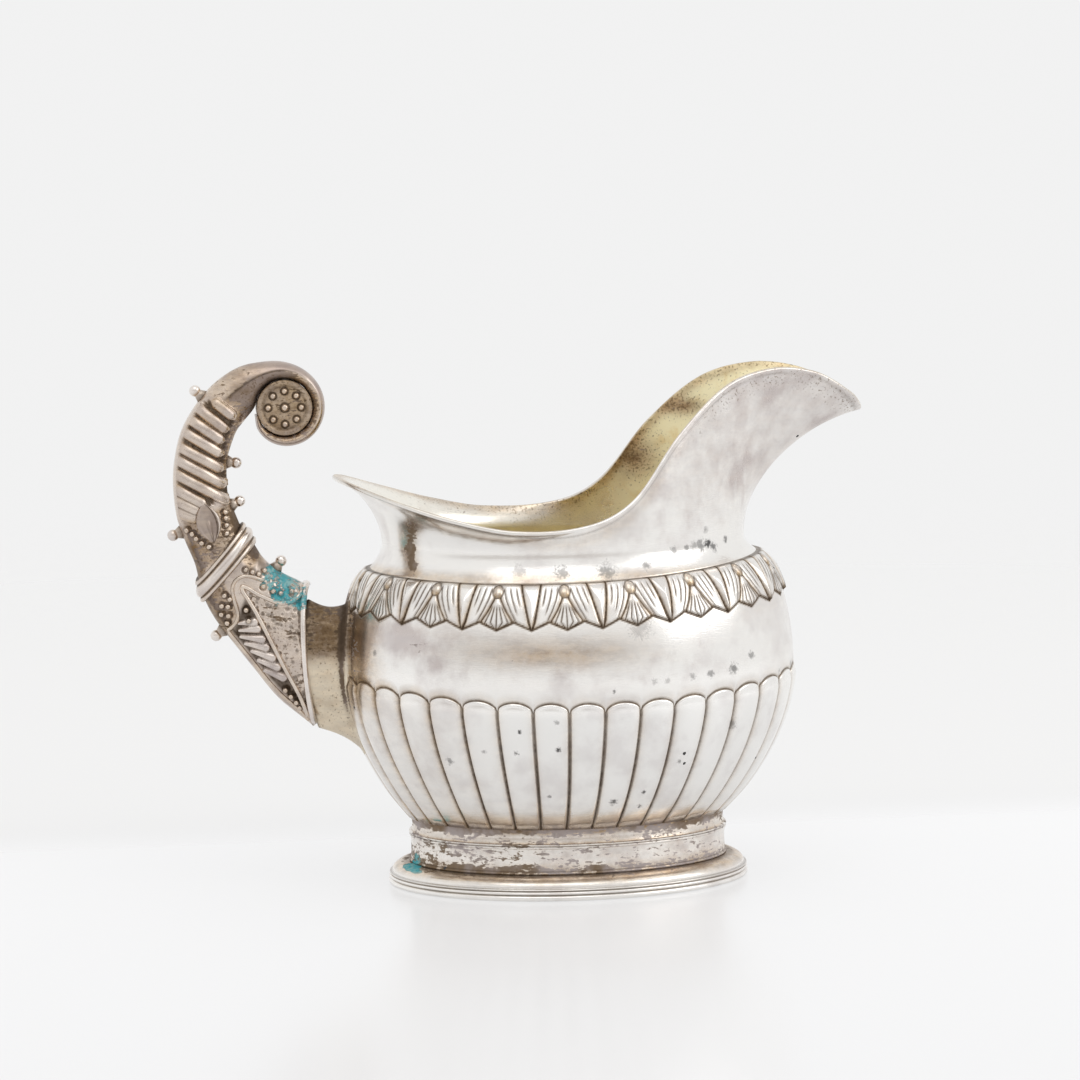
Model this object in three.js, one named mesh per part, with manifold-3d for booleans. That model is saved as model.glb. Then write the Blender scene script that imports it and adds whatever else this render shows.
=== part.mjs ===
// A footed oval cream jug of sheet silver: lobed bowl, flared neck with a high spout,
// a built-up foot and a horn-shaped scroll handle made of two halves.
// Millimetres, +Z up. The jug stands on Z = 0, its spout points along +X and its handle along -X,
// and its two sides mirror each other across the plane Y = 0.
import * as THREE from 'three';
import Module from 'manifold-3d';
import { mergeVertices } from 'three/addons/utils/BufferGeometryUtils.js';

// Plan. Each oval is named by its half length; its half width is shorter by this much.
const OVAL_DIFFERENCE = 11;

// Foot, from the table up. The collar and the fillet are stepped in from the base.
const FOOT_HALF_LENGTH = 41.6;
const FOOT_SPREAD = 5.1;
const FOOT_BASE_HEIGHT = 5;
const FOOT_REED_COUNT = 2;
const FOOT_REED_HEIGHT = 1.3;
const FOOT_REED_DEPTH = 0.45;
const FOOT_REED_STEP = 0.15;
const COLLAR_HALF_LENGTH = FOOT_HALF_LENGTH - FOOT_SPREAD;
const COLLAR_HEIGHT = 7.1;
const COLLAR_BEAD = 0.3;
const FILLET_STEP = 0.2;
const FILLET_HALF_LENGTH = COLLAR_HALF_LENGTH - FILLET_STEP;
const FILLET_HEIGHT = 3.2;
const FOOT_WALL = 1.7;

// Bowl
const BOWL_HEIGHT = 58.6;
const BELLY_HALF_LENGTH = 52;
const BELLY_RISE = 34.2;
const BELLY_LEAN = 0.7;
const BASE_OVERHANG = 0.4;
const LIP_HALF_LENGTH = 44.8;
const LIP_TILT = 1.1;
const LIP_DROOP = 2;
const BOWL_WALL = 1.4;
const BELLY_FULLNESS = 1.85;
const SHOULDER_START = 1.8;
const SHOULDER_ROLL = 0.6;

// Lobes round the lower bowl
const LOBE_COUNT = 36;
const LOBE_RISE = 31.3;
const LOBE_DROOP = 3.4;
const LOBE_ARCH = 2.4;
const LOBE_END_DEPTH = 0.47;
const LOBE_MIDDLE_DEPTH = 0.85;
const LOBE_STEP = 0.35;

// Neck and spout
const WAIST_INSET = 3;
const WAIST_RISE = 4.4;
const NECK_WALL = 1.1;
const NECK_INSET = 0.2;

// Pull of the neck's curve from the waist to the rim, as shares of its rise and of its flare.
const NECK_RISE_EARLY = 0.4;
const NECK_RISE_LATE = 0.88;
const NECK_FLARE_LATE = 0.45;

// Rim of the neck, from the spout's tip round one side to the back: the angle on the waist oval,
// then how far the rim lies ahead of and outside that oval, and how high it is above the waist.
const RIM_STATIONS = [
  [0, 27.7, 0, 27.8],
  [0.1, 24.9, 3.1, 31.4],
  [0.22, 17.4, 3, 36.5],
  [0.36, 8.9, 2.2, 38.1],
  [0.6, 1.5, 0.8, 35],
  [0.93, -1, -0.9, 24.9],
  [1.27, -0.4, -1.2, 10.4],
  [1.57, 0, 0.4, 4.9],
  [1.91, -0.9, 2.7, 4.2],
  [2.22, -2.7, 4.5, 6.8],
  [2.53, -5.8, 5.3, 10.5],
  [2.85, -9.6, 3.5, 14],
  [Math.PI, -10.6, 0, 14.9],
];

// Handle. Its own zero is the back of the belly, at the belly's widest height.
// Each section gives its outer edge (x, z), its inner edge (x, z) and its half thickness.
const HANDLE_SECTIONS = [
  [-6.6, -12.3, -8.2, 20.3, 7.5],
  [-10.5, -9.3, -9.8, 21.2, 7.4],
  [-15.4, -4.8, -12.9, 22.8, 7.1],
  [-20.5, 1.9, -15.5, 24.7, 6.8],
  [-24.7, 7.5, -17.7, 26.9, 6.5],
  [-28.7, 13.1, -19.2, 29.4, 6.2],
  [-31.4, 18.9, -20.7, 31.8, 5.9],
  [-32.8, 25.4, -22.2, 33.7, 5.7],
  [-35, 31, -23.6, 37.1, 5.6],
  [-36.7, 36.5, -24.9, 40.5, 5.6],
  [-37.3, 43.5, -25.2, 44.7, 5.5],
  [-36.8, 49.5, -25, 48.9, 5.4],
  [-35.1, 55.8, -24, 52.5, 5.3],
  [-31.9, 61.3, -22.6, 55.7, 5.2],
  [-27.5, 66.3, -20.8, 57.9, 5],
  [-22.2, 69.7, -18.6, 60.6, 4.9],
];
const HANDLE_WALL = 1.2;
const HANDLE_FULLNESS = 0.8;
const MOUTH_SCOOP = 2.4;
const MOUTH_WIRE_RADIUS = 0.7;
const MOUTH_WIRE_START = 24;

// Scroll that the handle's thin end is rolled into, and the rosettes that fill it
const SCROLL_X = -11.9;
const SCROLL_Z = 60.6;
const SCROLL_START = 118;
const SCROLL_END = -146;
const SCROLL_THICK = 5.3;
const SCROLL_THIN = 0.5;
const SCROLL_LEAD = 32;
const SCROLL_NARROWING = 1.4;
const ROSETTE_RADIUS = 6;
const ROSETTE_DEPTH = 3;
const ROSETTE_RIM_WIDTH = 0.7;
const ROSETTE_RIM_HEIGHT = 0.35;
const PEARL_COUNT = 8;
const PEARL_RADIUS = 0.95;
const PEARL_RING_RADIUS = 3.8;
const PEARL_LIFT = 0.25;

// Socket between the bowl and the horn's mouth
const SOCKET_WALL = 1.1;
const SOCKET_ENTRY_SECTION = 0.35;
const SOCKET_TOP_DROP = 2.2;
const SOCKET_FOOT_LOW = -19;
const SOCKET_FOOT_HIGH = 15.5;
const SOCKET_FOOT_HALF_WIDTH = 7;
const SOCKET_SEAM_SLOPE = 0.6;
const SOCKET_SEAM_SHARPNESS = 40;

// Trim on the handle
const STRAP_SECTION = 6.15;
const STRAP_HALF_WIDTH = 2.5;
const STRAP_HEIGHT = 1.2;
const LEAF_SECTION = 8.3;
const LEAF_HALF_LENGTH = 4.7;
const LEAF_HALF_WIDTH = 2.6;
const LEAF_THICKNESS = 1;
const LEAF_RIDGE_SCALE = 0.55;
const LEAF_TURN = -14;
const WIRE_RADIUS = 0.5;
const BEAD_RADIUS = 1.3;
const BEAD_STEM_RADIUS = 0.75;
const BEAD_STEM_LENGTH = 0.7;

// Route of the wire round the side panel: section number, then the place across the section,
// from -1 on its inner edge to 1 on its outer edge.
const PANEL_WIRE_ROUTE = [
  [0.5, -0.84],
  [1, -0.7],
  [2, -0.55],
  [3, -0.36],
  [4.1, -0.25],
  [4.55, -0.2],
  [4.7, -0.14],
  [4.5, -0.08],
  [4, -0.06],
  [3, 0.05],
  [2, 0.26],
  [1, 0.56],
  [0.35, 0.82],
];

// Beads that stand on the seam: name, section number, and 1 for the outer edge or -1 for the inner.
const BEADS = [
  ['bead_back_top', 13.4, 1],
  ['bead_back_middle', 8.35, 1],
  ['bead_back_low', 4.5, 1],
  ['bead_front_top', 10.9, -1],
  ['bead_front_middle', 8.5, -1],
  ['bead_front_low', 2.65, -1],
];

// Clearances
const CLEARANCE = 0.3;
const SEAM_CLEARANCE = 0.05;

// Facet counts
const FOOT_FACETS = 60;
const LOBE_FACETS = [0, 0.17, 0.5, 0.83];
const RIM_STEPS = 3;
const SECTION_FACETS = 10;
const SECTION_STEPS = 1.2;
const SCROLL_SECTIONS = 12;
const MOUTH_WIRE_STEPS = 28;
const STRAP_STEPS = 24;
const PANEL_WIRE_STEPS = 30;
const LEAF_STEPS = 12;
const ROSETTE_FACETS = 30;
const BEAD_FACETS = 10;
const BEAD_STEPS = 5;

const SILVER = { color: 0xc9c2b8, roughness: 0.28, metalness: 1 };
const TARNISHED = { color: 0x9a8b78, roughness: 0.4, metalness: 1 };

// Heights that follow from the sizes above
const COLLAR_Z = FOOT_BASE_HEIGHT;
const FILLET_Z = COLLAR_Z + COLLAR_HEIGHT;
const BOWL_Z = FILLET_Z + FILLET_HEIGHT;
const BELLY_Z = BOWL_Z + BELLY_RISE;
const LIP_Z = BOWL_Z + BOWL_HEIGHT;
const WAIST_Z = LIP_Z + WAIST_RISE;

const wasm = await Module();
wasm.setup();

// Joins rings of equal length into one closed skin. A loop of rings closes on itself;
// a row of rings gets a flat cap at each end.
function skin(rings, loop) {
  const sides = rings[0].length;
  const points = rings.flat();
  const faces = [];
  const bands = loop ? rings.length : rings.length - 1;
  for (let r = 0; r < bands; r += 1) {
    const low = r * sides;
    const high = ((r + 1) % rings.length) * sides;
    for (let k = 0; k < sides; k += 1) {
      const next = (k + 1) % sides;
      faces.push([low + k, low + next, high + next], [low + k, high + next, high + k]);
    }
  }
  if (!loop) {
    for (const [ring, flip] of [[0, true], [rings.length - 1, false]]) {
      const centre = new THREE.Vector3();
      rings[ring].forEach((point) => centre.add(point));
      points.push(centre.divideScalar(sides));
      for (let k = 0; k < sides; k += 1) {
        const here = ring * sides + k;
        const next = ring * sides + ((k + 1) % sides);
        faces.push(flip ? [points.length - 1, next, here] : [points.length - 1, here, next]);
      }
    }
  }
  return closedGeometry(points, faces);
}

// Builds a geometry whose faces point outwards.
function closedGeometry(points, faces) {
  let volume = 0;
  for (const [a, b, c] of faces) {
    volume += points[a].dot(new THREE.Vector3().crossVectors(points[b], points[c]));
  }
  const turned = volume < 0 ? faces.map(([a, b, c]) => [a, c, b]) : faces;
  const geometry = new THREE.BufferGeometry().setFromPoints(points);
  geometry.setIndex(turned.flat());
  geometry.computeVertexNormals();
  return geometry;
}

// Turns a closed geometry into a solid that can be joined and cut.
function toSolid(geometry) {
  const bare = geometry.clone();
  bare.deleteAttribute('normal');
  bare.deleteAttribute('uv');
  const merged = mergeVertices(bare, 1e-4);
  const mesh = new wasm.Mesh({
    numProp: 3,
    vertProperties: new Float32Array(merged.attributes.position.array),
    triVerts: new Uint32Array(merged.index.array),
  });
  return new wasm.Manifold(mesh);
}

function toGeometry(solid) {
  const mesh = solid.getMesh();
  const geometry = new THREE.BufferGeometry();
  geometry.setAttribute('position', new THREE.BufferAttribute(mesh.vertProperties, 3));
  geometry.setIndex(new THREE.BufferAttribute(mesh.triVerts, 1));
  geometry.computeVertexNormals();
  return geometry;
}

function named(name, geometry, finish) {
  const mesh = new THREE.Mesh(geometry, new THREE.MeshStandardMaterial(finish));
  mesh.name = name;
  return mesh;
}

// The same shape on the other side of the plane Y = 0.
function mirrored(geometry) {
  const copy = geometry.clone();
  copy.applyMatrix4(new THREE.Matrix4().makeScale(1, -1, 1));
  const index = Array.from(copy.index.array);
  for (let i = 0; i < index.length; i += 3) {
    [index[i + 1], index[i + 2]] = [index[i + 2], index[i + 1]];
  }
  copy.setIndex(index);
  copy.computeVertexNormals();
  return copy;
}

function ovalPoint(halfLength, angle, z, shift = 0) {
  const halfWidth = halfLength - OVAL_DIFFERENCE;
  return new THREE.Vector3(shift + halfLength * Math.cos(angle), halfWidth * Math.sin(angle), z);
}

function ovalRing(halfLength, z) {
  const ring = [];
  for (let k = 0; k < FOOT_FACETS; k += 1) {
    ring.push(ovalPoint(halfLength, (2 * Math.PI * k) / FOOT_FACETS, z));
  }
  return ring;
}

// A hollow oval ring from its profile, a closed list of [half length, height].
function ovalBand(profile) {
  return skin(profile.map(([halfLength, z]) => ovalRing(halfLength, z)), true);
}

// Foot: a reeded base, a plain collar and a fillet, stacked face to face and open underneath.
function footBaseProfile() {
  const inner = COLLAR_HALF_LENGTH - FOOT_WALL;
  const reeds = [];
  for (let reed = 0; reed < FOOT_REED_COUNT; reed += 1) {
    const low = reed * FOOT_REED_HEIGHT;
    const edge = FOOT_HALF_LENGTH - reed * FOOT_REED_STEP;
    reeds.push([edge - FOOT_REED_DEPTH, low], [edge, low + FOOT_REED_HEIGHT / 2]);
  }
  const coveLow = FOOT_REED_COUNT * FOOT_REED_HEIGHT;
  const coveHigh = FOOT_BASE_HEIGHT - coveLow;
  const coveOut = FOOT_HALF_LENGTH - FOOT_REED_COUNT * FOOT_REED_STEP - FOOT_REED_DEPTH;
  const coveDeep = coveOut - COLLAR_HALF_LENGTH - FOOT_REED_DEPTH;
  const cove = [0, 35, 65, 90].map((degrees) => {
    const angle = THREE.MathUtils.degToRad(degrees);
    return [coveOut - coveDeep * (1 - Math.cos(angle)), coveLow + coveHigh * Math.sin(angle)];
  });
  return [[inner, 0], ...reeds, ...cove, [inner, FOOT_BASE_HEIGHT]];
}

// An upright band, with a small bead along its top edge where one is given.
function plainBandProfile(halfLength, low, high, bead) {
  const inner = halfLength - FOOT_WALL;
  const beadPoints = bead > 0 ? [[halfLength, high - 2 * bead], [halfLength + bead, high - bead]] : [];
  return [[inner, low], [halfLength, low], ...beadPoints, [halfLength, high], [inner, high]];
}

// Height of the bowl's lip, which rises to the spout and dips at the two sides.
function lipHeight(angle) {
  return LIP_Z + LIP_TILT * Math.cos(angle) - LIP_DROOP * Math.sin(angle) ** 2;
}

// Half length of the bowl at a height. Below the belly it swells quickly and then slowly;
// above the belly it rolls over into the shoulder.
function bowlHalfLength(z, angle) {
  const base = FILLET_HALF_LENGTH + BASE_OVERHANG;
  if (z <= BELLY_Z) {
    const rise = (z - BOWL_Z) / BELLY_RISE;
    return base + (BELLY_HALF_LENGTH - base) * (1 - (1 - rise) ** BELLY_FULLNESS);
  }
  const rise = Math.min(1, (z - BELLY_Z) / (lipHeight(angle) - BELLY_Z));
  const roll = 1 - (1 - rise ** SHOULDER_START) ** SHOULDER_ROLL;
  return BELLY_HALF_LENGTH - (BELLY_HALF_LENGTH - LIP_HALF_LENGTH) * roll;
}

// The belly stands a little ahead of the foot and the lip.
function bowlLean(z, angle) {
  const rise = (z - BOWL_Z) / (lipHeight(angle) - BOWL_Z);
  return BELLY_LEAN * (1 - (2 * rise - 1) ** 4);
}

function bowlPoint(angle, z, inset) {
  return ovalPoint(bowlHalfLength(z, angle) - inset, angle, z, bowlLean(z, angle));
}

// Angles that cut the bowl's oval into lobes of equal arc, one lobe centred on the spout.
function lobeColumns() {
  const steps = 3600;
  const lengths = [0];
  let last = ovalPoint(BELLY_HALF_LENGTH, 0, 0);
  for (let k = 1; k <= steps; k += 1) {
    const point = ovalPoint(BELLY_HALF_LENGTH, (2 * Math.PI * k) / steps, 0);
    lengths.push(lengths[k - 1] + point.distanceTo(last));
    last = point;
  }
  const columns = [];
  for (let lobe = 0; lobe < LOBE_COUNT; lobe += 1) {
    for (const across of LOBE_FACETS) {
      const share = (lobe + across - 0.5 + LOBE_COUNT) % LOBE_COUNT;
      const target = (share / LOBE_COUNT) * lengths[steps];
      const k = Math.min(steps - 1, lengths.findIndex((length) => length > target) - 1);
      const part = (target - lengths[k]) / (lengths[k + 1] - lengths[k]);
      columns.push({ angle: (2 * Math.PI * (k + part)) / steps, across });
    }
  }
  return columns;
}

function bowlGeometry() {
  const columns = lobeColumns();
  const lobeTop = ({ angle, across }) => {
    const line = BOWL_Z + LOBE_RISE - LOBE_DROOP * Math.sin(angle) ** 2;
    return line + LOBE_ARCH * Math.sqrt(1 - (2 * across - 1) ** 2);
  };
  const rings = [];
  for (const share of [0, 0.15, 0.4, 0.7, 0.92, 1]) {
    const deep = LOBE_END_DEPTH + (LOBE_MIDDLE_DEPTH - LOBE_END_DEPTH) * Math.sin(Math.PI * share);
    rings.push(columns.map((column) => {
      const z = BOWL_Z + share * (lobeTop(column) - BOWL_Z);
      const inset = column.across === 0 ? deep : -LOBE_STEP * share;
      return bowlPoint(column.angle, z, inset);
    }));
  }
  const ledge = (column) => lobeTop(column) + LOBE_STEP;
  for (const share of [0, 0.35, 0.65, 0.84, 0.95, 1]) {
    rings.push(columns.map((column) => {
      const z = ledge(column) + share * (lipHeight(column.angle) - ledge(column));
      return bowlPoint(column.angle, z, 0);
    }));
  }
  for (const share of [1, 0.93, 0.6]) {
    rings.push(columns.map(({ angle }) => {
      const z = BELLY_Z + share * (lipHeight(angle) - BELLY_Z);
      return bowlPoint(angle, z, BOWL_WALL);
    }));
  }
  const floor = BOWL_Z + BOWL_WALL;
  for (const share of [0.85, 0.35, 0]) {
    rings.push(columns.map(({ angle }) => bowlPoint(angle, floor + share * (BELLY_Z - floor), BOWL_WALL)));
  }
  return skin(rings, false);
}

// Rim of the neck at any angle, on a smooth curve through the stations and their mirror images.
function rimAt(angle) {
  const mirrorEnd = ([a, ahead, aside, rise], centre) => [2 * centre - a, ahead, -aside, rise];
  const keys = [
    mirrorEnd(RIM_STATIONS[1], 0),
    ...RIM_STATIONS,
    mirrorEnd(RIM_STATIONS[RIM_STATIONS.length - 2], Math.PI),
  ];
  let k = 1;
  while (k < keys.length - 3 && angle > keys[k + 1][0]) {
    k += 1;
  }
  const span = keys[k + 1][0] - keys[k][0];
  const u = (angle - keys[k][0]) / span;
  return [1, 2, 3].map((channel) => {
    const slope = (i) => (keys[i + 1][channel] - keys[i - 1][channel]) / (keys[i + 1][0] - keys[i - 1][0]);
    const start = keys[k][channel];
    const end = keys[k + 1][channel];
    const bend = (2 * u ** 3 - 3 * u ** 2 + 1) * start + (3 * u ** 2 - 2 * u ** 3) * end;
    return bend + (u ** 3 - 2 * u ** 2 + u) * span * slope(k) + (u ** 3 - u ** 2) * span * slope(k + 1);
  });
}

// Angles of the neck's columns, with even steps between the rim's stations, all the way round.
function neckAngles() {
  const angles = [];
  for (let k = 0; k < RIM_STATIONS.length - 1; k += 1) {
    for (let step = 0; step < RIM_STEPS; step += 1) {
      const span = RIM_STATIONS[k + 1][0] - RIM_STATIONS[k][0];
      angles.push(RIM_STATIONS[k][0] + (span * step) / RIM_STEPS);
    }
  }
  const back = angles.slice(1).reverse().map((angle) => 2 * Math.PI - angle);
  return [...angles, Math.PI, ...back];
}

// One column of the neck's outside, from the bowl's lip in to the waist and out to the rim.
function neckColumn(angle) {
  const side = angle > Math.PI ? -1 : 1;
  const [ahead, aside, rise] = rimAt(side > 0 ? angle : 2 * Math.PI - angle);
  const foot = lipHeight(angle) + SEAM_CLEARANCE;
  const lip = LIP_HALF_LENGTH - NECK_INSET;
  const points = [
    ovalPoint(lip, angle, foot),
    ovalPoint(lip - WAIST_INSET * Math.SQRT1_2, angle, (foot + WAIST_Z) / 2),
  ];
  const waist = ovalPoint(lip - WAIST_INSET, angle, WAIST_Z);
  for (const u of [0, 0.3, 0.6, 0.85, 1]) {
    const early = 3 * (1 - u) ** 2 * u;
    const late = 3 * (1 - u) * u ** 2;
    const out = NECK_FLARE_LATE * late + u ** 3;
    const up = NECK_RISE_EARLY * early + NECK_RISE_LATE * late + u ** 3;
    points.push(waist.clone().add(new THREE.Vector3(ahead * out, side * aside * out, rise * up)));
  }
  return points;
}

function neckGeometry() {
  const outside = neckAngles().map(neckColumn);
  const rows = outside[0].length;
  const inward = (c, r) => {
    const columns = outside.length;
    const around = outside[(c + 1) % columns][r].clone().sub(outside[(c + columns - 1) % columns][r]);
    const up = outside[c][Math.min(r + 1, rows - 1)].clone().sub(outside[c][Math.max(r - 1, 0)]);
    const normal = around.cross(up);
    if (r === 0) {
      normal.z = 0;
    }
    return normal.normalize().multiplyScalar(-NECK_WALL);
  };
  const rings = [];
  for (let r = 0; r < rows; r += 1) {
    rings.push(outside.map((column) => column[r].clone()));
  }
  for (let r = rows - 1; r >= 0; r -= 1) {
    rings.push(outside.map((column, c) => column[r].clone().add(inward(c, r))));
  }
  return skin(rings, true);
}

// Handle sections by number: the listed ones first, then the turns of the scroll.
function handleEdges() {
  const outer = HANDLE_SECTIONS.map(([x, z, , , deep]) => new THREE.Vector3(x, deep, z));
  const inner = HANDLE_SECTIONS.map(([, , x, z, deep]) => new THREE.Vector3(x, deep, z));
  const startDeep = HANDLE_SECTIONS[HANDLE_SECTIONS.length - 1][4];
  for (let k = 0; k < SCROLL_SECTIONS; k += 1) {
    const u = k / (SCROLL_SECTIONS - 1);
    const degrees = SCROLL_START + (SCROLL_END - SCROLL_START) * u;
    const lead = degrees + SCROLL_LEAD * (1 - u) ** 4;
    const body = (SCROLL_THICK - SCROLL_THIN) / 2;
    const thick = SCROLL_THIN + body * (1 - u ** 6) + body * (1 - u) ** 8;
    const near = ROSETTE_RADIUS + CLEARANCE;
    const deep = startDeep - SCROLL_NARROWING * u;
    outer.push(scrollPoint(degrees, near + thick, deep));
    inner.push(scrollPoint(lead, near, deep));
  }
  return {
    outer: new THREE.CatmullRomCurve3(outer),
    inner: new THREE.CatmullRomCurve3(inner),
    last: outer.length - 1,
  };
}

function scrollPoint(degrees, radius, y) {
  const angle = THREE.MathUtils.degToRad(degrees);
  return new THREE.Vector3(SCROLL_X + radius * Math.cos(angle), y, SCROLL_Z + radius * Math.sin(angle));
}

const EDGES = handleEdges();

function sectionAt(number) {
  const outer = EDGES.outer.getPoint(number / EDGES.last);
  const inner = EDGES.inner.getPoint(number / EDGES.last);
  const deep = outer.y;
  outer.y = 0;
  inner.y = 0;
  return { outer, inner, deep };
}

// A point on a section's outline. The angle runs from 0 on the outer edge to PI on the inner edge
// along the +Y side, and on to 2 PI along the -Y side. Grow moves the outline outwards.
function sectionPoint({ outer, inner, deep }, angle, grow = 0) {
  const middle = outer.clone().add(inner).multiplyScalar(0.5);
  const across = outer.clone().sub(middle);
  const half = across.length();
  const point = middle.add(across.multiplyScalar(((half + grow) / half) * Math.cos(angle)));
  const swell = Math.abs(Math.sin(angle)) ** HANDLE_FULLNESS;
  point.y = Math.sign(Math.sin(angle)) * (deep + grow) * swell;
  return point;
}

// The mouth's two sides are cut back in a shallow curve that dies out along the horn.
function scoop(number, angle) {
  return -MOUTH_SCOOP * Math.abs(Math.sin(angle)) * Math.max(0, 1 - number) ** 2;
}

function sectionNumbers(first, last) {
  const steps = Math.round((last - first) * SECTION_STEPS);
  return Array.from({ length: steps + 1 }, (_, k) => first + ((last - first) * k) / steps);
}

// Half of a section's outline, on the +Y side, closed by its straight side at the height seamY.
function halfRing(number, grow, seamY, ahead) {
  const section = sectionAt(number);
  return Array.from({ length: SECTION_FACETS + 1 }, (_, k) => {
    const angle = (Math.PI * k) / SECTION_FACETS;
    const point = sectionPoint(section, angle, grow);
    point.x += scoop(number, angle) + ahead;
    point.y = k === 0 || k === SECTION_FACETS ? seamY : point.y;
    return point;
  });
}

// One half of the handle, on the +Y side: a shell as far as the scroll, then solid.
function handleHalfGeometry() {
  const hollowEnd = HANDLE_SECTIONS.length - 3;
  const pastSeam = -1;
  const pastMouth = 6;
  const body = sectionNumbers(0, EDGES.last).map((number) => halfRing(number, 0, 0, 0));
  const cavity = [
    halfRing(0, -HANDLE_WALL, pastSeam, pastMouth),
    ...sectionNumbers(0, hollowEnd).map((number) => halfRing(number, -HANDLE_WALL, pastSeam, 0)),
  ];
  return toGeometry(toSolid(skin(body, false)).subtract(toSolid(skin(cavity, false))));
}

// Rings of a round wire along a list of points.
function wireRings(points, radius, sides, up) {
  return points.map((point, k) => {
    const before = points[Math.max(0, k - 1)];
    const after = points[Math.min(points.length - 1, k + 1)];
    const along = after.clone().sub(before).normalize();
    const across = along.clone().cross(up).normalize();
    const over = across.clone().cross(along);
    return Array.from({ length: sides }, (_, s) => {
      const angle = (2 * Math.PI * s) / sides;
      const ring = point.clone().addScaledVector(across, radius * Math.cos(angle));
      return ring.addScaledVector(over, radius * Math.sin(angle));
    });
  });
}

function mouthWireGeometry() {
  const sides = 6;
  const section = sectionAt(0);
  const ahead = MOUTH_WIRE_RADIUS + CLEARANCE;
  const rings = [];
  for (let k = 0; k <= MOUTH_WIRE_STEPS; k += 1) {
    const part = k / MOUTH_WIRE_STEPS;
    const turn = THREE.MathUtils.degToRad(MOUTH_WIRE_START + (360 - 2 * MOUTH_WIRE_START) * part);
    const ring = [];
    for (let s = 0; s < sides; s += 1) {
      const angle = (2 * Math.PI * s) / sides;
      const point = sectionPoint(section, turn, MOUTH_WIRE_RADIUS * Math.cos(angle));
      point.x += scoop(0, turn) + ahead + MOUTH_WIRE_RADIUS * Math.sin(angle);
      ring.push(point);
    }
    rings.push(ring);
  }
  return skin(rings, false);
}

// The socket is a sleeve inside the horn's mouth, stands flush with the horn's lower seam outside it,
// and spreads from there to a tall oval on the bowl.
function socketRing(number, ahead, inset, flush, share) {
  const columns = 2 * SECTION_FACETS;
  const section = sectionAt(number);
  const back = BELLY_HALF_LENGTH - BELLY_LEAN;
  const sleeve = HANDLE_WALL + CLEARANCE;
  return Array.from({ length: columns }, (_, k) => {
    const turn = (2 * Math.PI * k) / columns;
    const seam = flush * Math.max(0, Math.cos(turn)) ** SOCKET_SEAM_SHARPNESS;
    const near = sectionPoint(section, turn, sleeve * (seam - 1) - inset);
    near.x += scoop(number, turn) + ahead;
    near.z -= SOCKET_TOP_DROP * Math.max(0, -Math.cos(turn)) + SOCKET_SEAM_SLOPE * ahead * seam;
    const low = SOCKET_FOOT_LOW + inset;
    const high = SOCKET_FOOT_HIGH - inset;
    const z = (low + high) / 2 - ((high - low) / 2) * Math.cos(turn);
    const halfWidth = SOCKET_FOOT_HALF_WIDTH - inset;
    const y = Math.sign(Math.sin(turn)) * halfWidth * Math.abs(Math.sin(turn)) ** HANDLE_FULLNESS;
    const bowlLength = bowlHalfLength(z + BELLY_Z, Math.PI) + LOBE_STEP + CLEARANCE;
    const bowlWidth = bowlLength - OVAL_DIFFERENCE;
    const x = back + bowlLean(z + BELLY_Z, Math.PI) - bowlLength * Math.sqrt(1 - (y / bowlWidth) ** 2);
    return near.lerp(new THREE.Vector3(x, y, z), share);
  });
}

function socketGeometry() {
  const pastWire = 2 * (MOUTH_WIRE_RADIUS + CLEARANCE);
  const step = 0.2;
  const outside = [
    socketRing(SOCKET_ENTRY_SECTION, 0, 0, 0, 0),
    socketRing(0, CLEARANCE, 0, 0, 0),
    socketRing(0, CLEARANCE + step, 0, 1, 0),
    socketRing(0, pastWire, 0, 1, 0),
    socketRing(0, pastWire, 0, 1, 0.5),
    socketRing(0, pastWire, 0, 1, 1),
  ];
  const inside = [
    socketRing(0, pastWire, SOCKET_WALL, 0, 1),
    socketRing(0, pastWire, SOCKET_WALL, 0, 0.5),
    socketRing(0, pastWire, SOCKET_WALL, 0, 0),
    socketRing(SOCKET_ENTRY_SECTION, 0, SOCKET_WALL, 0, 0),
  ];
  return skin([...outside, ...inside], true);
}

// How far the handle runs, in millimetres, from one section to the next.
function sectionPitch(number, turn) {
  const reach = 0.5;
  const before = sectionPoint(sectionAt(number - reach), turn);
  return before.distanceTo(sectionPoint(sectionAt(number + reach), turn)) / (2 * reach);
}

// A band of three ribs, of even width, that wraps the handle along one section.
function strapGeometry() {
  const profile = [
    [-1, 0], [-1, 0.5], [-0.72, 0.75], [-0.5, 0.4], [-0.25, 0.95], [0.25, 0.95],
    [0.5, 0.4], [0.72, 0.75], [1, 0.5], [1, 0], [0, 0],
  ];
  const rings = [];
  for (let k = 0; k < STRAP_STEPS; k += 1) {
    const turn = (2 * Math.PI * k) / STRAP_STEPS;
    const span = STRAP_HALF_WIDTH / sectionPitch(STRAP_SECTION, turn);
    rings.push(profile.map(([along, height]) => {
      const section = sectionAt(STRAP_SECTION + span * along);
      return sectionPoint(section, turn, CLEARANCE + STRAP_HEIGHT * height);
    }));
  }
  return skin(rings, true);
}

// A pointed leaf that lies on the handle's side, with a ridge along its middle.
function leafGeometry() {
  const outline = (scale, y) => Array.from({ length: 2 * LEAF_STEPS }, (_, k) => {
    const side = k < LEAF_STEPS ? 1 : -1;
    const along = side * (1 - (2 * (k % LEAF_STEPS)) / LEAF_STEPS);
    const x = side * LEAF_HALF_WIDTH * (1 - along ** 2) * scale;
    return new THREE.Vector3(x, y, LEAF_HALF_LENGTH * along * scale);
  });
  const rings = [outline(1, 0), outline(1, LEAF_THICKNESS / 2), outline(LEAF_RIDGE_SCALE, LEAF_THICKNESS)];
  return skin(rings, false);
}

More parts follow.
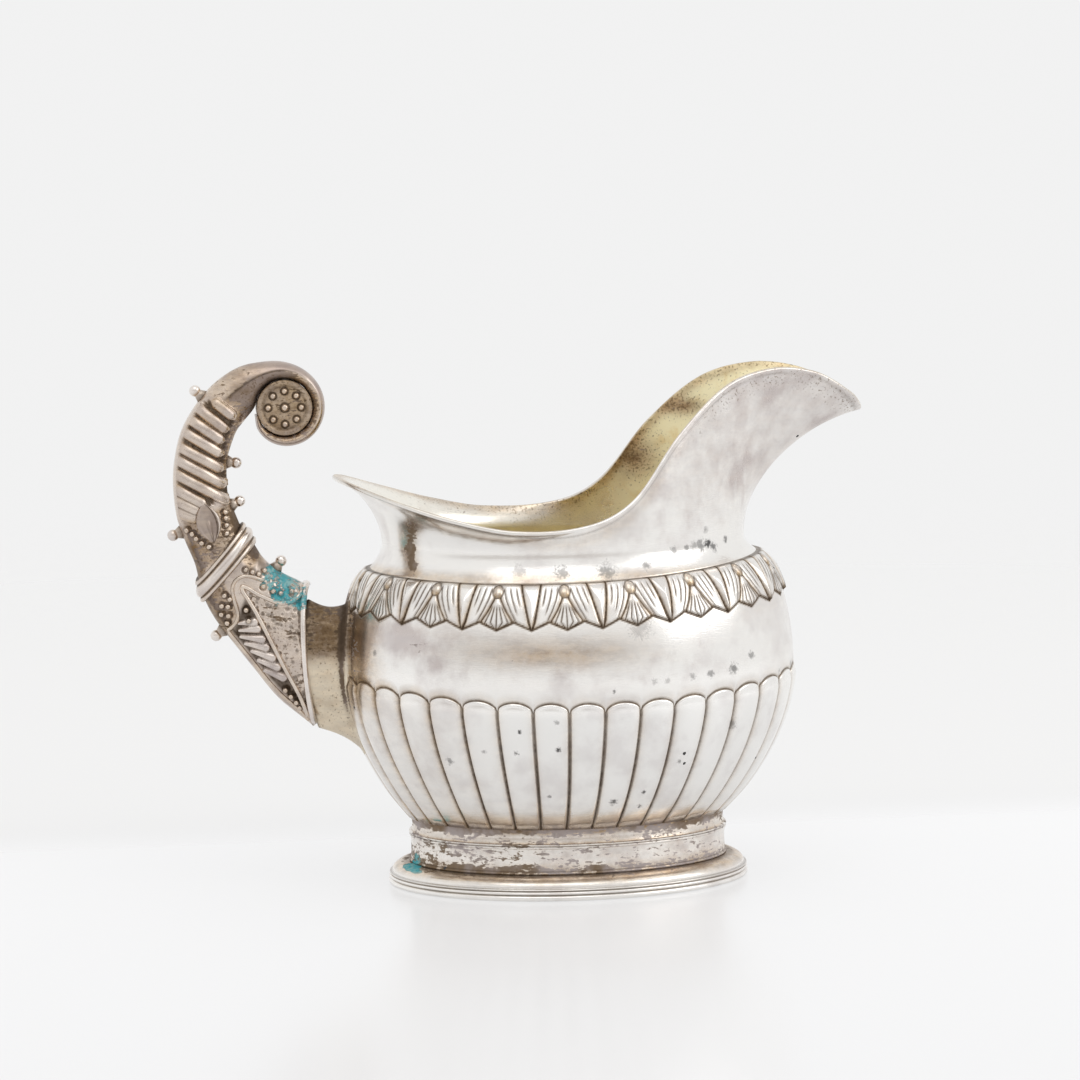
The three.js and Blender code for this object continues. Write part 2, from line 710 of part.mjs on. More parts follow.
function leafPlace(side) {
  const section = sectionAt(LEAF_SECTION);
  const place = section.outer.clone().add(section.inner).multiplyScalar(0.5);
  const thickest = Math.max(section.deep, sectionAt(LEAF_SECTION - 1).deep);
  place.y = side * (thickest + CLEARANCE);
  return place;
}

function panelWireGeometry() {
  const sides = 5;
  const route = PANEL_WIRE_ROUTE.map(([number, across]) => {
    const point = sectionPoint(sectionAt(number), Math.acos(across), WIRE_RADIUS + CLEARANCE);
    point.x += scoop(number, Math.acos(across));
    return point;
  });
  const points = new THREE.CatmullRomCurve3(route).getSpacedPoints(PANEL_WIRE_STEPS);
  return skin(wireRings(points, WIRE_RADIUS, sides, new THREE.Vector3(0, 1, 0)), false);
}

// A disc that fills one side of the scroll, with a ring of pearls round a middle one.
function rosetteGeometry() {
  const disc = (radius, y) => Array.from({ length: ROSETTE_FACETS }, (_, k) => {
    return scrollPoint((360 * k) / ROSETTE_FACETS, radius, y);
  });
  const rings = [
    disc(ROSETTE_RADIUS, 0),
    disc(ROSETTE_RADIUS, ROSETTE_DEPTH + ROSETTE_RIM_HEIGHT),
    disc(ROSETTE_RADIUS - ROSETTE_RIM_WIDTH, ROSETTE_DEPTH + ROSETTE_RIM_HEIGHT),
    disc(ROSETTE_RADIUS - ROSETTE_RIM_WIDTH - ROSETTE_RIM_HEIGHT, ROSETTE_DEPTH),
  ];
  let solid = toSolid(skin(rings, false));
  const pearl = (centre) => {
    const ball = new THREE.SphereGeometry(PEARL_RADIUS, 8, 5);
    return toSolid(ball.translate(centre.x, centre.y, centre.z));
  };
  const height = ROSETTE_DEPTH + PEARL_LIFT;
  solid = solid.add(pearl(scrollPoint(0, 0, height)));
  for (let k = 0; k < PEARL_COUNT; k += 1) {
    solid = solid.add(pearl(scrollPoint((360 * k) / PEARL_COUNT, PEARL_RING_RADIUS, height)));
  }
  return toGeometry(solid);
}

// A ball on a short stem that stands on the seam.
function beadGeometry() {
  const points = [new THREE.Vector2(0, 0), new THREE.Vector2(BEAD_STEM_RADIUS, 0)];
  const centre = BEAD_STEM_LENGTH + Math.sqrt(BEAD_RADIUS ** 2 - BEAD_STEM_RADIUS ** 2);
  const start = Math.asin(BEAD_STEM_RADIUS / BEAD_RADIUS);
  for (let k = 0; k < BEAD_STEPS; k += 1) {
    const angle = start + ((Math.PI - start) * k) / BEAD_STEPS;
    points.push(new THREE.Vector2(BEAD_RADIUS * Math.sin(angle), centre - BEAD_RADIUS * Math.cos(angle)));
  }
  points.push(new THREE.Vector2(0, centre + BEAD_RADIUS));
  return new THREE.LatheGeometry(points, BEAD_FACETS);
}

function placeBead(mesh, number, edge) {
  const section = sectionAt(number);
  const reach = 0.2;
  const before = sectionAt(number - reach);
  const after = sectionAt(number + reach);
  const key = edge > 0 ? 'outer' : 'inner';
  const along = after[key].clone().sub(before[key]).normalize();
  const outward = new THREE.Vector3(-along.z, 0, along.x);
  const across = section.outer.clone().sub(section.inner).multiplyScalar(edge);
  if (outward.dot(across) < 0) {
    outward.negate();
  }
  mesh.position.copy(section[key]).addScaledVector(outward, CLEARANCE);
  mesh.quaternion.setFromUnitVectors(new THREE.Vector3(0, 1, 0), outward);
}

// Foot, bowl and neck stand on the jug's own upright axis.
const creamer = new THREE.Group();
creamer.add(named('foot_base', ovalBand(footBaseProfile()), SILVER));
const collarProfile = plainBandProfile(COLLAR_HALF_LENGTH, COLLAR_Z, FILLET_Z, COLLAR_BEAD);
creamer.add(named('foot_collar', ovalBand(collarProfile), SILVER));
const filletProfile = plainBandProfile(FILLET_HALF_LENGTH, FILLET_Z, BOWL_Z, 0);
creamer.add(named('foot_fillet', ovalBand(filletProfile), SILVER));
creamer.add(named('bowl', bowlGeometry(), SILVER));
creamer.add(named('neck_spout', neckGeometry(), SILVER));

// The handle and all its trim hang on the back of the belly.
const handle = new THREE.Group();
handle.position.set(BELLY_LEAN - BELLY_HALF_LENGTH, 0, BELLY_Z);
creamer.add(handle);
handle.add(named('handle_socket', socketGeometry(), TARNISHED));
handle.add(named('horn_mouth_wire', mouthWireGeometry(), SILVER));
handle.add(named('handle_strap', strapGeometry(), TARNISHED));
const halves = { left: 1, right: -1 };
const halfGeometry = handleHalfGeometry();
const rosette = rosetteGeometry();
const panelWire = panelWireGeometry();
const leaf = leafGeometry();
for (const [sideName, side] of Object.entries(halves)) {
  const sided = (geometry) => (side > 0 ? geometry : mirrored(geometry));
  handle.add(named(`handle_half_${sideName}`, sided(halfGeometry), TARNISHED));
  handle.add(named(`rosette_${sideName}`, sided(rosette), TARNISHED));
  handle.add(named(`panel_wire_${sideName}`, sided(panelWire), SILVER));
  const leafMesh = named(`leaf_${sideName}`, sided(leaf), TARNISHED);
  leafMesh.position.copy(leafPlace(side));
  leafMesh.rotation.y = THREE.MathUtils.degToRad(LEAF_TURN);
  handle.add(leafMesh);
}
for (const [name, number, edge] of BEADS) {
  const bead = named(name, beadGeometry(), SILVER);
  placeBead(bead, number, edge);
  handle.add(bead);
}

// The origin is the middle of the jug's box, on the table.
creamer.updateMatrixWorld(true);
const box = new THREE.Box3().setFromObject(creamer, true);
creamer.position.x = -(box.min.x + box.max.x) / 2;
creamer.updateMatrixWorld(true);

export default creamer;
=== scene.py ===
"""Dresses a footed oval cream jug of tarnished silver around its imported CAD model.

Sizes are millimetres in the jug's own frame: X runs to the spout, Z up from the table, and zero lies
under the middle of the foot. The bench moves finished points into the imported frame, in metres.
"""

import logging
import math
from collections.abc import Callable, Sequence
from dataclasses import dataclass, field
from enum import Enum
from typing import Any

import bpy
import numpy as np
from mathutils import Matrix, Vector


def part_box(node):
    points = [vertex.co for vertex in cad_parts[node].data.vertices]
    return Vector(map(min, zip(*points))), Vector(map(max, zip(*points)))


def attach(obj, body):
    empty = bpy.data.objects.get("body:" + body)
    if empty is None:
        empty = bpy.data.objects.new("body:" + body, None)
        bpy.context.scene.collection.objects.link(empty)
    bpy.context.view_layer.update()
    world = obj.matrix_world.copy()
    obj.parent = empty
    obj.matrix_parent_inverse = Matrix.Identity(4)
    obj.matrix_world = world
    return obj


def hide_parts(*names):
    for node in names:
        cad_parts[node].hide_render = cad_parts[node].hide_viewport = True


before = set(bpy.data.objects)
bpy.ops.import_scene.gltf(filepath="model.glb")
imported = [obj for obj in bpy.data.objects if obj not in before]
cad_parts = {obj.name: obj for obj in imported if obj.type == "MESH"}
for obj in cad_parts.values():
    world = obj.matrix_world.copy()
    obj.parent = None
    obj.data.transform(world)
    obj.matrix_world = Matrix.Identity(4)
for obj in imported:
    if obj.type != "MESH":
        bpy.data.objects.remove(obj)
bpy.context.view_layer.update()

log = logging.getLogger("creamer")

Array = np.ndarray
Values = Array | float
Colour = tuple[float, float, float]
Path2 = Sequence[tuple[float, float]]
Span = tuple[float, float, float, float]

MM = 0.001
WELD = 1e-6
TINY = 1e-9
SEED = 11


class Slot(Enum):
    """The record's material slots."""

    POLISHED = "polished_silver"
    TARNISHED = "tarnished_silver"


class Side(Enum):
    """The jug's two sides, by the sign of Y."""

    LEFT = 1
    RIGHT = -1


class Mark(Enum):
    """What a surface carries at a point, each from 0 to 1."""

    GROOVE = "groove"
    BROWN = "brown"
    HAZE = "haze"
    CRUST = "crust"
    SPECK = "speck"
    VERDIGRIS = "verdigris"
    GILT = "gilt"


Marks = dict[Mark, Array]
Skin = tuple[Array, Marks]


def ease(values: Values, low: float, high: float) -> Values:
    """Rises smoothly from 0 at low to 1 at high.

    Args:
        values: numbers to map.
        low: where the rise starts.
        high: where it ends; it may lie below low, and the result then falls.

    Returns:
        The eased numbers.
    """
    share = np.clip((values - low) / (high - low), 0, 1)
    return share * share * (3 - 2 * share)


def ridge(distance: Values, width: float) -> Values:
    """A bell of height 1 at distance 0 that dies out over the width."""
    return np.exp(-((distance / width) ** 2))


def band(values: Array, limits: Span) -> Array:
    """Rises smoothly from 0 to 1 between the first two limits, and falls back between the last two."""
    return ease(values, limits[0], limits[1]) * ease(values, limits[3], limits[2])


def dome(distance: Values, radius: float) -> Values:
    """A round cap of height 1 over a disc of the radius, and 0 outside it."""
    return np.sqrt(np.clip(1 - (distance / radius) ** 2, 0, 1))


def axes(points: Array) -> Array:
    """The three coordinates of points, one array each."""
    return np.moveaxis(points, -1, 0)


def circle(count: int) -> Array:
    """Angles of evenly spaced points round a circle."""
    return np.linspace(0, 2 * math.pi, count, endpoint=False)


def hermite(u: Array, ends: tuple[Array, Array], slopes: tuple[Array, Array]) -> Array:
    """Smooth step between two values.

    Args:
        u: place between them, from 0 to 1.
        ends: the first value and the second.
        slopes: the slope at the first and at the second, for the whole step.

    Returns:
        The values at u.
    """
    bend = (2 * u**3 - 3 * u**2 + 1) * ends[0] + (3 * u**2 - 2 * u**3) * ends[1]
    return bend + (u**3 - 2 * u**2 + u) * slopes[0] + (u**3 - u**2) * slopes[1]


def capped(rings: Array, first: Array, last: Array) -> Array:
    """Rings that close to one point before the first and to another after the last."""
    poles = [np.repeat(pole[None, None], rings.shape[1], axis=1) for pole in (first, last)]
    return np.concatenate([poles[0], rings, poles[1]])


def spline(keys: Array, at: Array) -> Array:
    """Smooth curve through keys.

    Args:
        keys: values at 0, 1, 2 and so on, one row each.
        at: places on the curve, in key numbers.

    Returns:
        One row of values for each place.
    """
    padded = np.vstack([2 * keys[0] - keys[1], keys, 2 * keys[-1] - keys[-2]])
    index = np.clip(np.floor(at).astype(int), 0, len(keys) - 2)
    u = (at - index)[:, None]
    before, start, end, after = (padded[index + k] for k in range(4))
    return hermite(u, (start, end), ((end - before) / 2, (after - start) / 2))


def normals(rings: Array, around: bool) -> Array:
    """Unit normals of a skin, outwards where columns turn left and rows rise.

    Args:
        rings: points, shape (rows, columns, 3).
        around: whether the columns close on themselves.

    Returns:
        Normals of the same shape.
    """
    along = np.gradient(rings, axis=0)
    if around:
        across = (np.roll(rings, -1, axis=1) - np.roll(rings, 1, axis=1)) / 2
    else:
        across = np.gradient(rings, axis=1)
    normal = np.cross(across, along)
    return normal / (np.linalg.norm(normal, axis=2, keepdims=True) + TINY)


def tube(route: Array, radius: Array, sides: int) -> Array:
    """Rings of a round wire along a route, closed to a point at both ends.

    Args:
        route: points along the wire's middle.
        radius: the wire's radius at each point.
        sides: points round the wire.

    Returns:
        Rings, shape (points + 2, sides, 3).
    """
    along = np.gradient(route, axis=0)
    along /= np.linalg.norm(along, axis=1, keepdims=True)
    across = np.cross(along, np.array([0.0, 1.0, 0.0]))
    across /= np.linalg.norm(across, axis=1, keepdims=True) + TINY
    over = np.cross(across, along)
    turn = circle(sides)[None, :, None]
    spread = np.cos(turn) * across[:, None] + np.sin(turn) * over[:, None]
    return capped(route[:, None] + radius[:, None, None] * spread, route[0], route[-1])


@dataclass
class Bench:
    """Shapes meshes in the jug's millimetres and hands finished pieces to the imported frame."""

    oval_columns: int = 240
    crease: float = 38.0
    ball_segments: int = 20
    ball_rings: int = 12

    def __post_init__(self) -> None:
        """Finds the foot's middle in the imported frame."""
        low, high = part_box("foot_base")
        self.centre_x = (low[0] + high[0]) / 2

    def in_frame(self, point: Sequence[float]) -> Vector:
        """A point of the jug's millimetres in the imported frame."""
        return Vector(point) * MM + Vector((self.centre_x, 0, 0))

    def node_size(self, node: str) -> tuple[Vector, Vector]:
        """A node's lowest and highest corners in the jug's millimetres."""
        low, high = (Vector(corner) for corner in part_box(node))
        middle = Vector((self.centre_x, 0, 0))
        return (low - middle) / MM, (high - middle) / MM

    def start(self) -> None:
        """Leaves nothing selected, so that an operator acts on the new piece alone."""
        bpy.ops.object.select_all(action="DESELECT")

    def sheet(self, name: str, skin: Skin) -> bpy.types.Object:
        """Lays a grid over rings of points, closes it round and welds its seam and poles.

        Args:
            name: name of the piece.
            skin: points, shape (rows, columns, 3), and marks, shape (rows, columns).

        Returns:
            The piece, smooth shaded.
        """
        rings, marks = skin
        rows, columns = rings.shape[:2]
        self.start()
        bpy.ops.mesh.primitive_grid_add(x_subdivisions=columns, y_subdivisions=rows - 1, size=2)
        piece = bpy.context.object
        piece.name = name
        mesh = piece.data
        flat = np.empty(len(mesh.vertices) * 3)
        mesh.vertices.foreach_get("co", flat)
        column = np.rint((flat[0::3] + 1) / 2 * columns).astype(int) % columns
        row = np.rint((flat[1::3] + 1) / 2 * (rows - 1)).astype(int)
        points = rings[row, column] * MM
        points[:, 0] += self.centre_x
        mesh.vertices.foreach_set("co", points.ravel())
        for key, values in marks.items():
            self.write(piece, key, values[row, column])
        mesh.update()
        self.weld(piece)
        return piece

    @staticmethod
    def write(piece: bpy.types.Object, key: Mark, values: Array) -> None:
        """Writes one mark on a piece, one value for each of its points."""
        attribute = piece.data.attributes.new(key.value, "FLOAT", "POINT")
        attribute.data.foreach_set("value", values.astype(np.float32))

    def weld(self, piece: bpy.types.Object) -> None:
        """Merges doubled points, turns all faces outwards and shades the piece smooth."""
        bpy.context.view_layer.objects.active = piece
        bpy.ops.object.mode_set(mode="EDIT")
        bpy.ops.mesh.select_all(action="SELECT")
        bpy.ops.mesh.remove_doubles(threshold=WELD)
        bpy.ops.mesh.normals_make_consistent(inside=False)
        bpy.ops.object.mode_set(mode="OBJECT")
        bpy.ops.object.shade_smooth()

    def oval_band(self, name: str, profile: Path2, narrower: float) -> bpy.types.Object:
        """Extrudes an oval ring along a closed profile.

        Args:
            name: name of the piece.
            profile: half length and height of each ring, the last ring on the first.
            narrower: how much shorter the half width is than the half length.

        Returns:
            The closed band.
        """
        self.start()
        bpy.ops.mesh.primitive_circle_add(vertices=self.oval_columns, radius=1)
        piece = bpy.context.object
        piece.name = name
        bpy.ops.object.mode_set(mode="EDIT")
        bpy.ops.mesh.select_all(action="SELECT")
        length, width, height = 1.0, 1.0, 0.0
        for step, (half_length, z) in enumerate(profile):
            if step > 0:
                bpy.ops.mesh.extrude_region_move()
            grow = (half_length * MM / length, (half_length - narrower) * MM / width, 1)
            bpy.ops.transform.resize(value=grow, center_override=(0, 0, height))
            bpy.ops.transform.translate(value=(0, 0, z * MM - height))
            length, width, height = half_length * MM, (half_length - narrower) * MM, z * MM
        bpy.ops.mesh.select_all(action="SELECT")
        bpy.ops.transform.translate(value=(self.centre_x, 0, 0))
        bpy.ops.object.mode_set(mode="OBJECT")
        self.weld(piece)
        bpy.ops.object.shade_smooth_by_angle(angle=math.radians(self.crease))
        return piece

    def balls(self, name: str, centres: Array, radii: Array, squash: float) -> bpy.types.Object:
        """Sets one ball at every centre and joins them.

        Args:
            name: name of the piece.
            centres: middles of the balls.
            radii: radius of each ball.
            squash: height of a ball along Y as a share of its width.

        Returns:
            The joined piece.
        """
        self.start()
        bpy.ops.mesh.primitive_uv_sphere_add(
            segments=self.ball_segments, ring_count=self.ball_rings, radius=1)
        pattern = bpy.context.object
        pieces = []
        for centre, radius in zip(centres, radii):
            ball = pattern.copy()
            ball.data = pattern.data.copy()
            bpy.context.collection.objects.link(ball)
            ball.location = self.in_frame(centre)
            ball.scale = Vector((radius, radius * squash, radius)) * MM
            pieces.append(ball)
        bpy.data.objects.remove(pattern)
        self.start()
        for ball in pieces:
            ball.select_set(True)
        bpy.context.view_layer.objects.active = pieces[0]
        bpy.ops.object.join()
        piece = bpy.context.object
        piece.name = name
        bpy.ops.object.transform_apply(location=True, rotation=True, scale=True)
        bpy.ops.object.shade_smooth()
        return piece

    def mark(self, piece: bpy.types.Object, marks: Callable[[Array], Marks]) -> None:
        """Writes marks on a piece, worked out from its points in the jug's millimetres."""
        flat = np.empty(len(piece.data.vertices) * 3)
        piece.data.vertices.foreach_get("co", flat)
        points = flat.reshape(-1, 3)
        points[:, 0] -= self.centre_x
        for key, values in marks(points / MM).items():
            self.write(piece, key, values)

    def lay(self, name: str, skin: Skin, metal: bpy.types.Material, slot: Slot, *nodes: str) -> None:
        """Lays a sheet and hands it over."""
        self.hand_over(self.sheet(name, skin), metal, slot, *nodes)

    def hand_over(self, piece: bpy.types.Object, metal: bpy.types.Material, slot: Slot, *nodes: str) -> None:
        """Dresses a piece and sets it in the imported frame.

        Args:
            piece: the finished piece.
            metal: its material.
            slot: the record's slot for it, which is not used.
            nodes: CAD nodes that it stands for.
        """
        piece.data.materials.clear()
        piece.data.materials.append(metal)
        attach(piece, "root")
        if nodes:
            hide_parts(*nodes)
        log.info("%s: %d faces", piece.name, len(piece.data.polygons))


@dataclass(frozen=True)
class Patch:
    """A soft stain: its strength, its middle in side view, and its reach along and up."""

    strength: float
    x: float
    z: float
    wide: float
    tall: float

    def on(self, points: Array) -> Array:
        """How strong the stain is at each point."""
        x, _, z = axes(points)
        return self.strength * ridge(x - self.x, self.wide) * ridge(z - self.z, self.tall)


@dataclass(frozen=True)
class Spot:
    """A dark spot of corrosion: its middle and radius in millimetres, and how dark it is."""

    middle: tuple[float, float, float]
    radius: float
    strength: float


def near_spots(skin: Array, listed: Sequence[Span]) -> tuple[Spot, ...]:
    """Sets listed spots on the near side of a skin.

    Args:
        skin: points of the skin, shape (rows, columns, 3).
        listed: x, z, radius and strength of each spot.

    Returns:
        The spots, each on the skin's nearest point.
    """
    near = skin[skin[:, :, 1] < 0]
    spots = []
    for x, z, radius, strength in listed:
        best = near[np.argmin((near[:, 0] - x) ** 2 + (near[:, 2] - z) ** 2)]
        spots.append(Spot((x, float(best[1]), z), radius, strength))
    return tuple(spots)


class Signal:
    """A value inside a node tree that takes part in Python sums."""

    def __init__(self, recipe: "Recipe", socket: bpy.types.NodeSocket) -> None:
        """Holds the socket and the recipe that it belongs to."""
        self.recipe = recipe
        self.socket = socket

    def _math(self, operation: str, first: "Signal | float", second: "Signal | float") -> "Signal":
        """Adds one Math node."""
        node = self.recipe.node("ShaderNodeMath", {"operation": operation}, {0: first, 1: second})
        return Signal(self.recipe, node.outputs[0])

    def __add__(self, other: "Signal | float") -> "Signal":
        """Sum."""
        return self._math("ADD", self, other)

    def __sub__(self, other: "Signal | float") -> "Signal":
        """Difference."""
        return self._math("SUBTRACT", self, other)

    def __rsub__(self, other: float) -> "Signal":
        """Difference with a number on the left."""
        return self._math("SUBTRACT", other, self)

    def __mul__(self, other: "Signal | float") -> "Signal":
        """Product."""
        return self._math("MULTIPLY", self, other)

    __radd__ = __add__
    __rmul__ = __mul__

    def most(self, other: "Signal | float") -> "Signal":
        """The larger of two values."""
        return self._math("MAXIMUM", self, other)

    def step(self, low: float, high: float) -> "Signal":
        """Rises smoothly from 0 at low to 1 at high, or falls where high lies below low."""
        inputs = {"Value": self, "From Min": low, "From Max": high}
        node = self.recipe.node("ShaderNodeMapRange", {"interpolation_type": "SMOOTHSTEP"}, inputs)
        return Signal(self.recipe, node.outputs[0])

    def clamp(self) -> "Signal":
        """Keeps the value between 0 and 1."""
        node = self.recipe.node("ShaderNodeClamp", {}, {"Value": self})
        return Signal(self.recipe, node.outputs[0])


class Recipe:
    """A node tree under construction."""

    def __init__(self, tree: bpy.types.NodeTree) -> None:
        """Starts from an empty tree."""
        self.tree = tree
        tree.nodes.clear()

    def node(self, kind: str, settings: dict[str, Any], inputs: dict[str | int, Any]) -> bpy.types.Node:
        """Adds any node.

        Args:
            kind: the node's type.
            settings: its properties, set first.
            inputs: values or links of its sockets, by name, identifier or number.

        Returns:
            The node.
        """
        node = self.tree.nodes.new(kind)
        for key, value in settings.items():
            setattr(node, key, value)
        for key, value in inputs.items():
            socket = self._socket(node, key)
            if isinstance(value, Signal):
                self.tree.links.new(value.socket, socket)
            elif isinstance(value, tuple) and socket.type == "RGBA":
                socket.default_value = (*value, 1)
            else:
                socket.default_value = value
        return node

    @staticmethod
    def _socket(node: bpy.types.Node, key: str | int) -> bpy.types.NodeSocket:
        """An input of a node by number, identifier or name."""
        if isinstance(key, int):
            return node.inputs[key]
        matches = [socket for socket in node.inputs if socket.identifier == key]
        return matches[0] if matches else node.inputs[key]

    def place(self) -> Signal:
        """Object coordinates."""
        return Signal(self, self.node("ShaderNodeTexCoord", {}, {}).outputs["Object"])

    def mark(self, key: Mark) -> Signal:
        """A mark that the mesh carries."""
        node = self.node("ShaderNodeAttribute", {"attribute_name": key.value}, {})
        return Signal(self, node.outputs["Fac"])

    def noise(self, place: Signal, size: float, detail: float, roughness: float = 0.55) -> Signal:
        """Cloudy noise with features of about the given size in millimetres."""
        inputs = {"Vector": place, "Scale": 1 / (size * MM), "Detail": detail, "Roughness": roughness}
        return Signal(self, self.node("ShaderNodeTexNoise", {}, inputs).outputs[0])

    def flattened(self, place: Signal, factor: float) -> Signal:
        """Coordinates in which a pattern lies flat, with its height divided by the factor."""
        inputs = {0: place, 1: (1, 1, factor)}
        node = self.node("ShaderNodeVectorMath", {"operation": "MULTIPLY"}, inputs)
        return Signal(self, node.outputs[0])

    def seen(self) -> Signal:
        """1 for rays from the camera and for what metal shows, and 0 for light that falls on the jug."""
        path = self.node("ShaderNodeLightPath", {}, {})
        rays = [Signal(self, path.outputs[f"Is {kind} Ray"]) for kind in ("Camera", "Glossy", "Transmission")]
        return (rays[0] + rays[1] + rays[2]).clamp()

    def distance(self, place: Signal, point: Vector) -> Signal:
        """How far the place lies from a fixed point."""
        node = self.node("ShaderNodeVectorMath", {"operation": "DISTANCE"}, {0: place, 1: tuple(point)})
        return Signal(self, node.outputs["Value"])

    def specks(self, place: Signal, size: float, share: float, radius: float) -> Signal:
        """Sparse ragged specks.

        Args:
            place: coordinates.
            size: spacing of the cells in millimetres, with one speck at most in each.
            share: share of the cells that hold a speck.
            radius: a speck's radius as a share of the spacing.

        Returns:
            1 on a speck and 0 elsewhere.
        """
        cells = self.node("ShaderNodeTexVoronoi", {}, {"Vector": place, "Scale": 1 / (size * MM)})
        colour = self.node("ShaderNodeSeparateColor", {}, {0: Signal(self, cells.outputs["Color"])})
        chosen = Signal(self, colour.outputs[0]).step(1 - share, 1.01 - share)
        ragged = Signal(self, cells.outputs["Distance"]) + self.noise(place, size * radius, 3) * radius
        return ragged.step(1.5 * radius, 1.3 * radius) * chosen

    def blend(self, factor: "Signal | float", first: "Signal | Colour", second: "Signal | Colour") -> Signal:
        """Mixes two colours."""
        settings = {"data_type": "RGBA", "clamp_factor": True}
        inputs = {"Factor_Float": factor, "A_Color": first, "B_Color": second}
        node = self.node("ShaderNodeMix", settings, inputs)
        return Signal(self, next(out for out in node.outputs if out.identifier == "Result_Color"))

    def bump(self, height: Signal, depth: float) -> Signal:
        """Normals of a relief of the given depth in millimetres."""
        node = self.node("ShaderNodeBump", {}, {"Strength": 1.0, "Distance": depth * MM, "Height": height})
        return Signal(self, node.outputs[0])

    def surface(self, inputs: dict[str | int, Any]) -> None:
        """Ends a material in a Principled shader."""
        shader = self.node("ShaderNodeBsdfPrincipled", {}, inputs)
        output = self.node("ShaderNodeOutputMaterial", {}, {})
        self.tree.links.new(shader.outputs[0], output.inputs["Surface"])


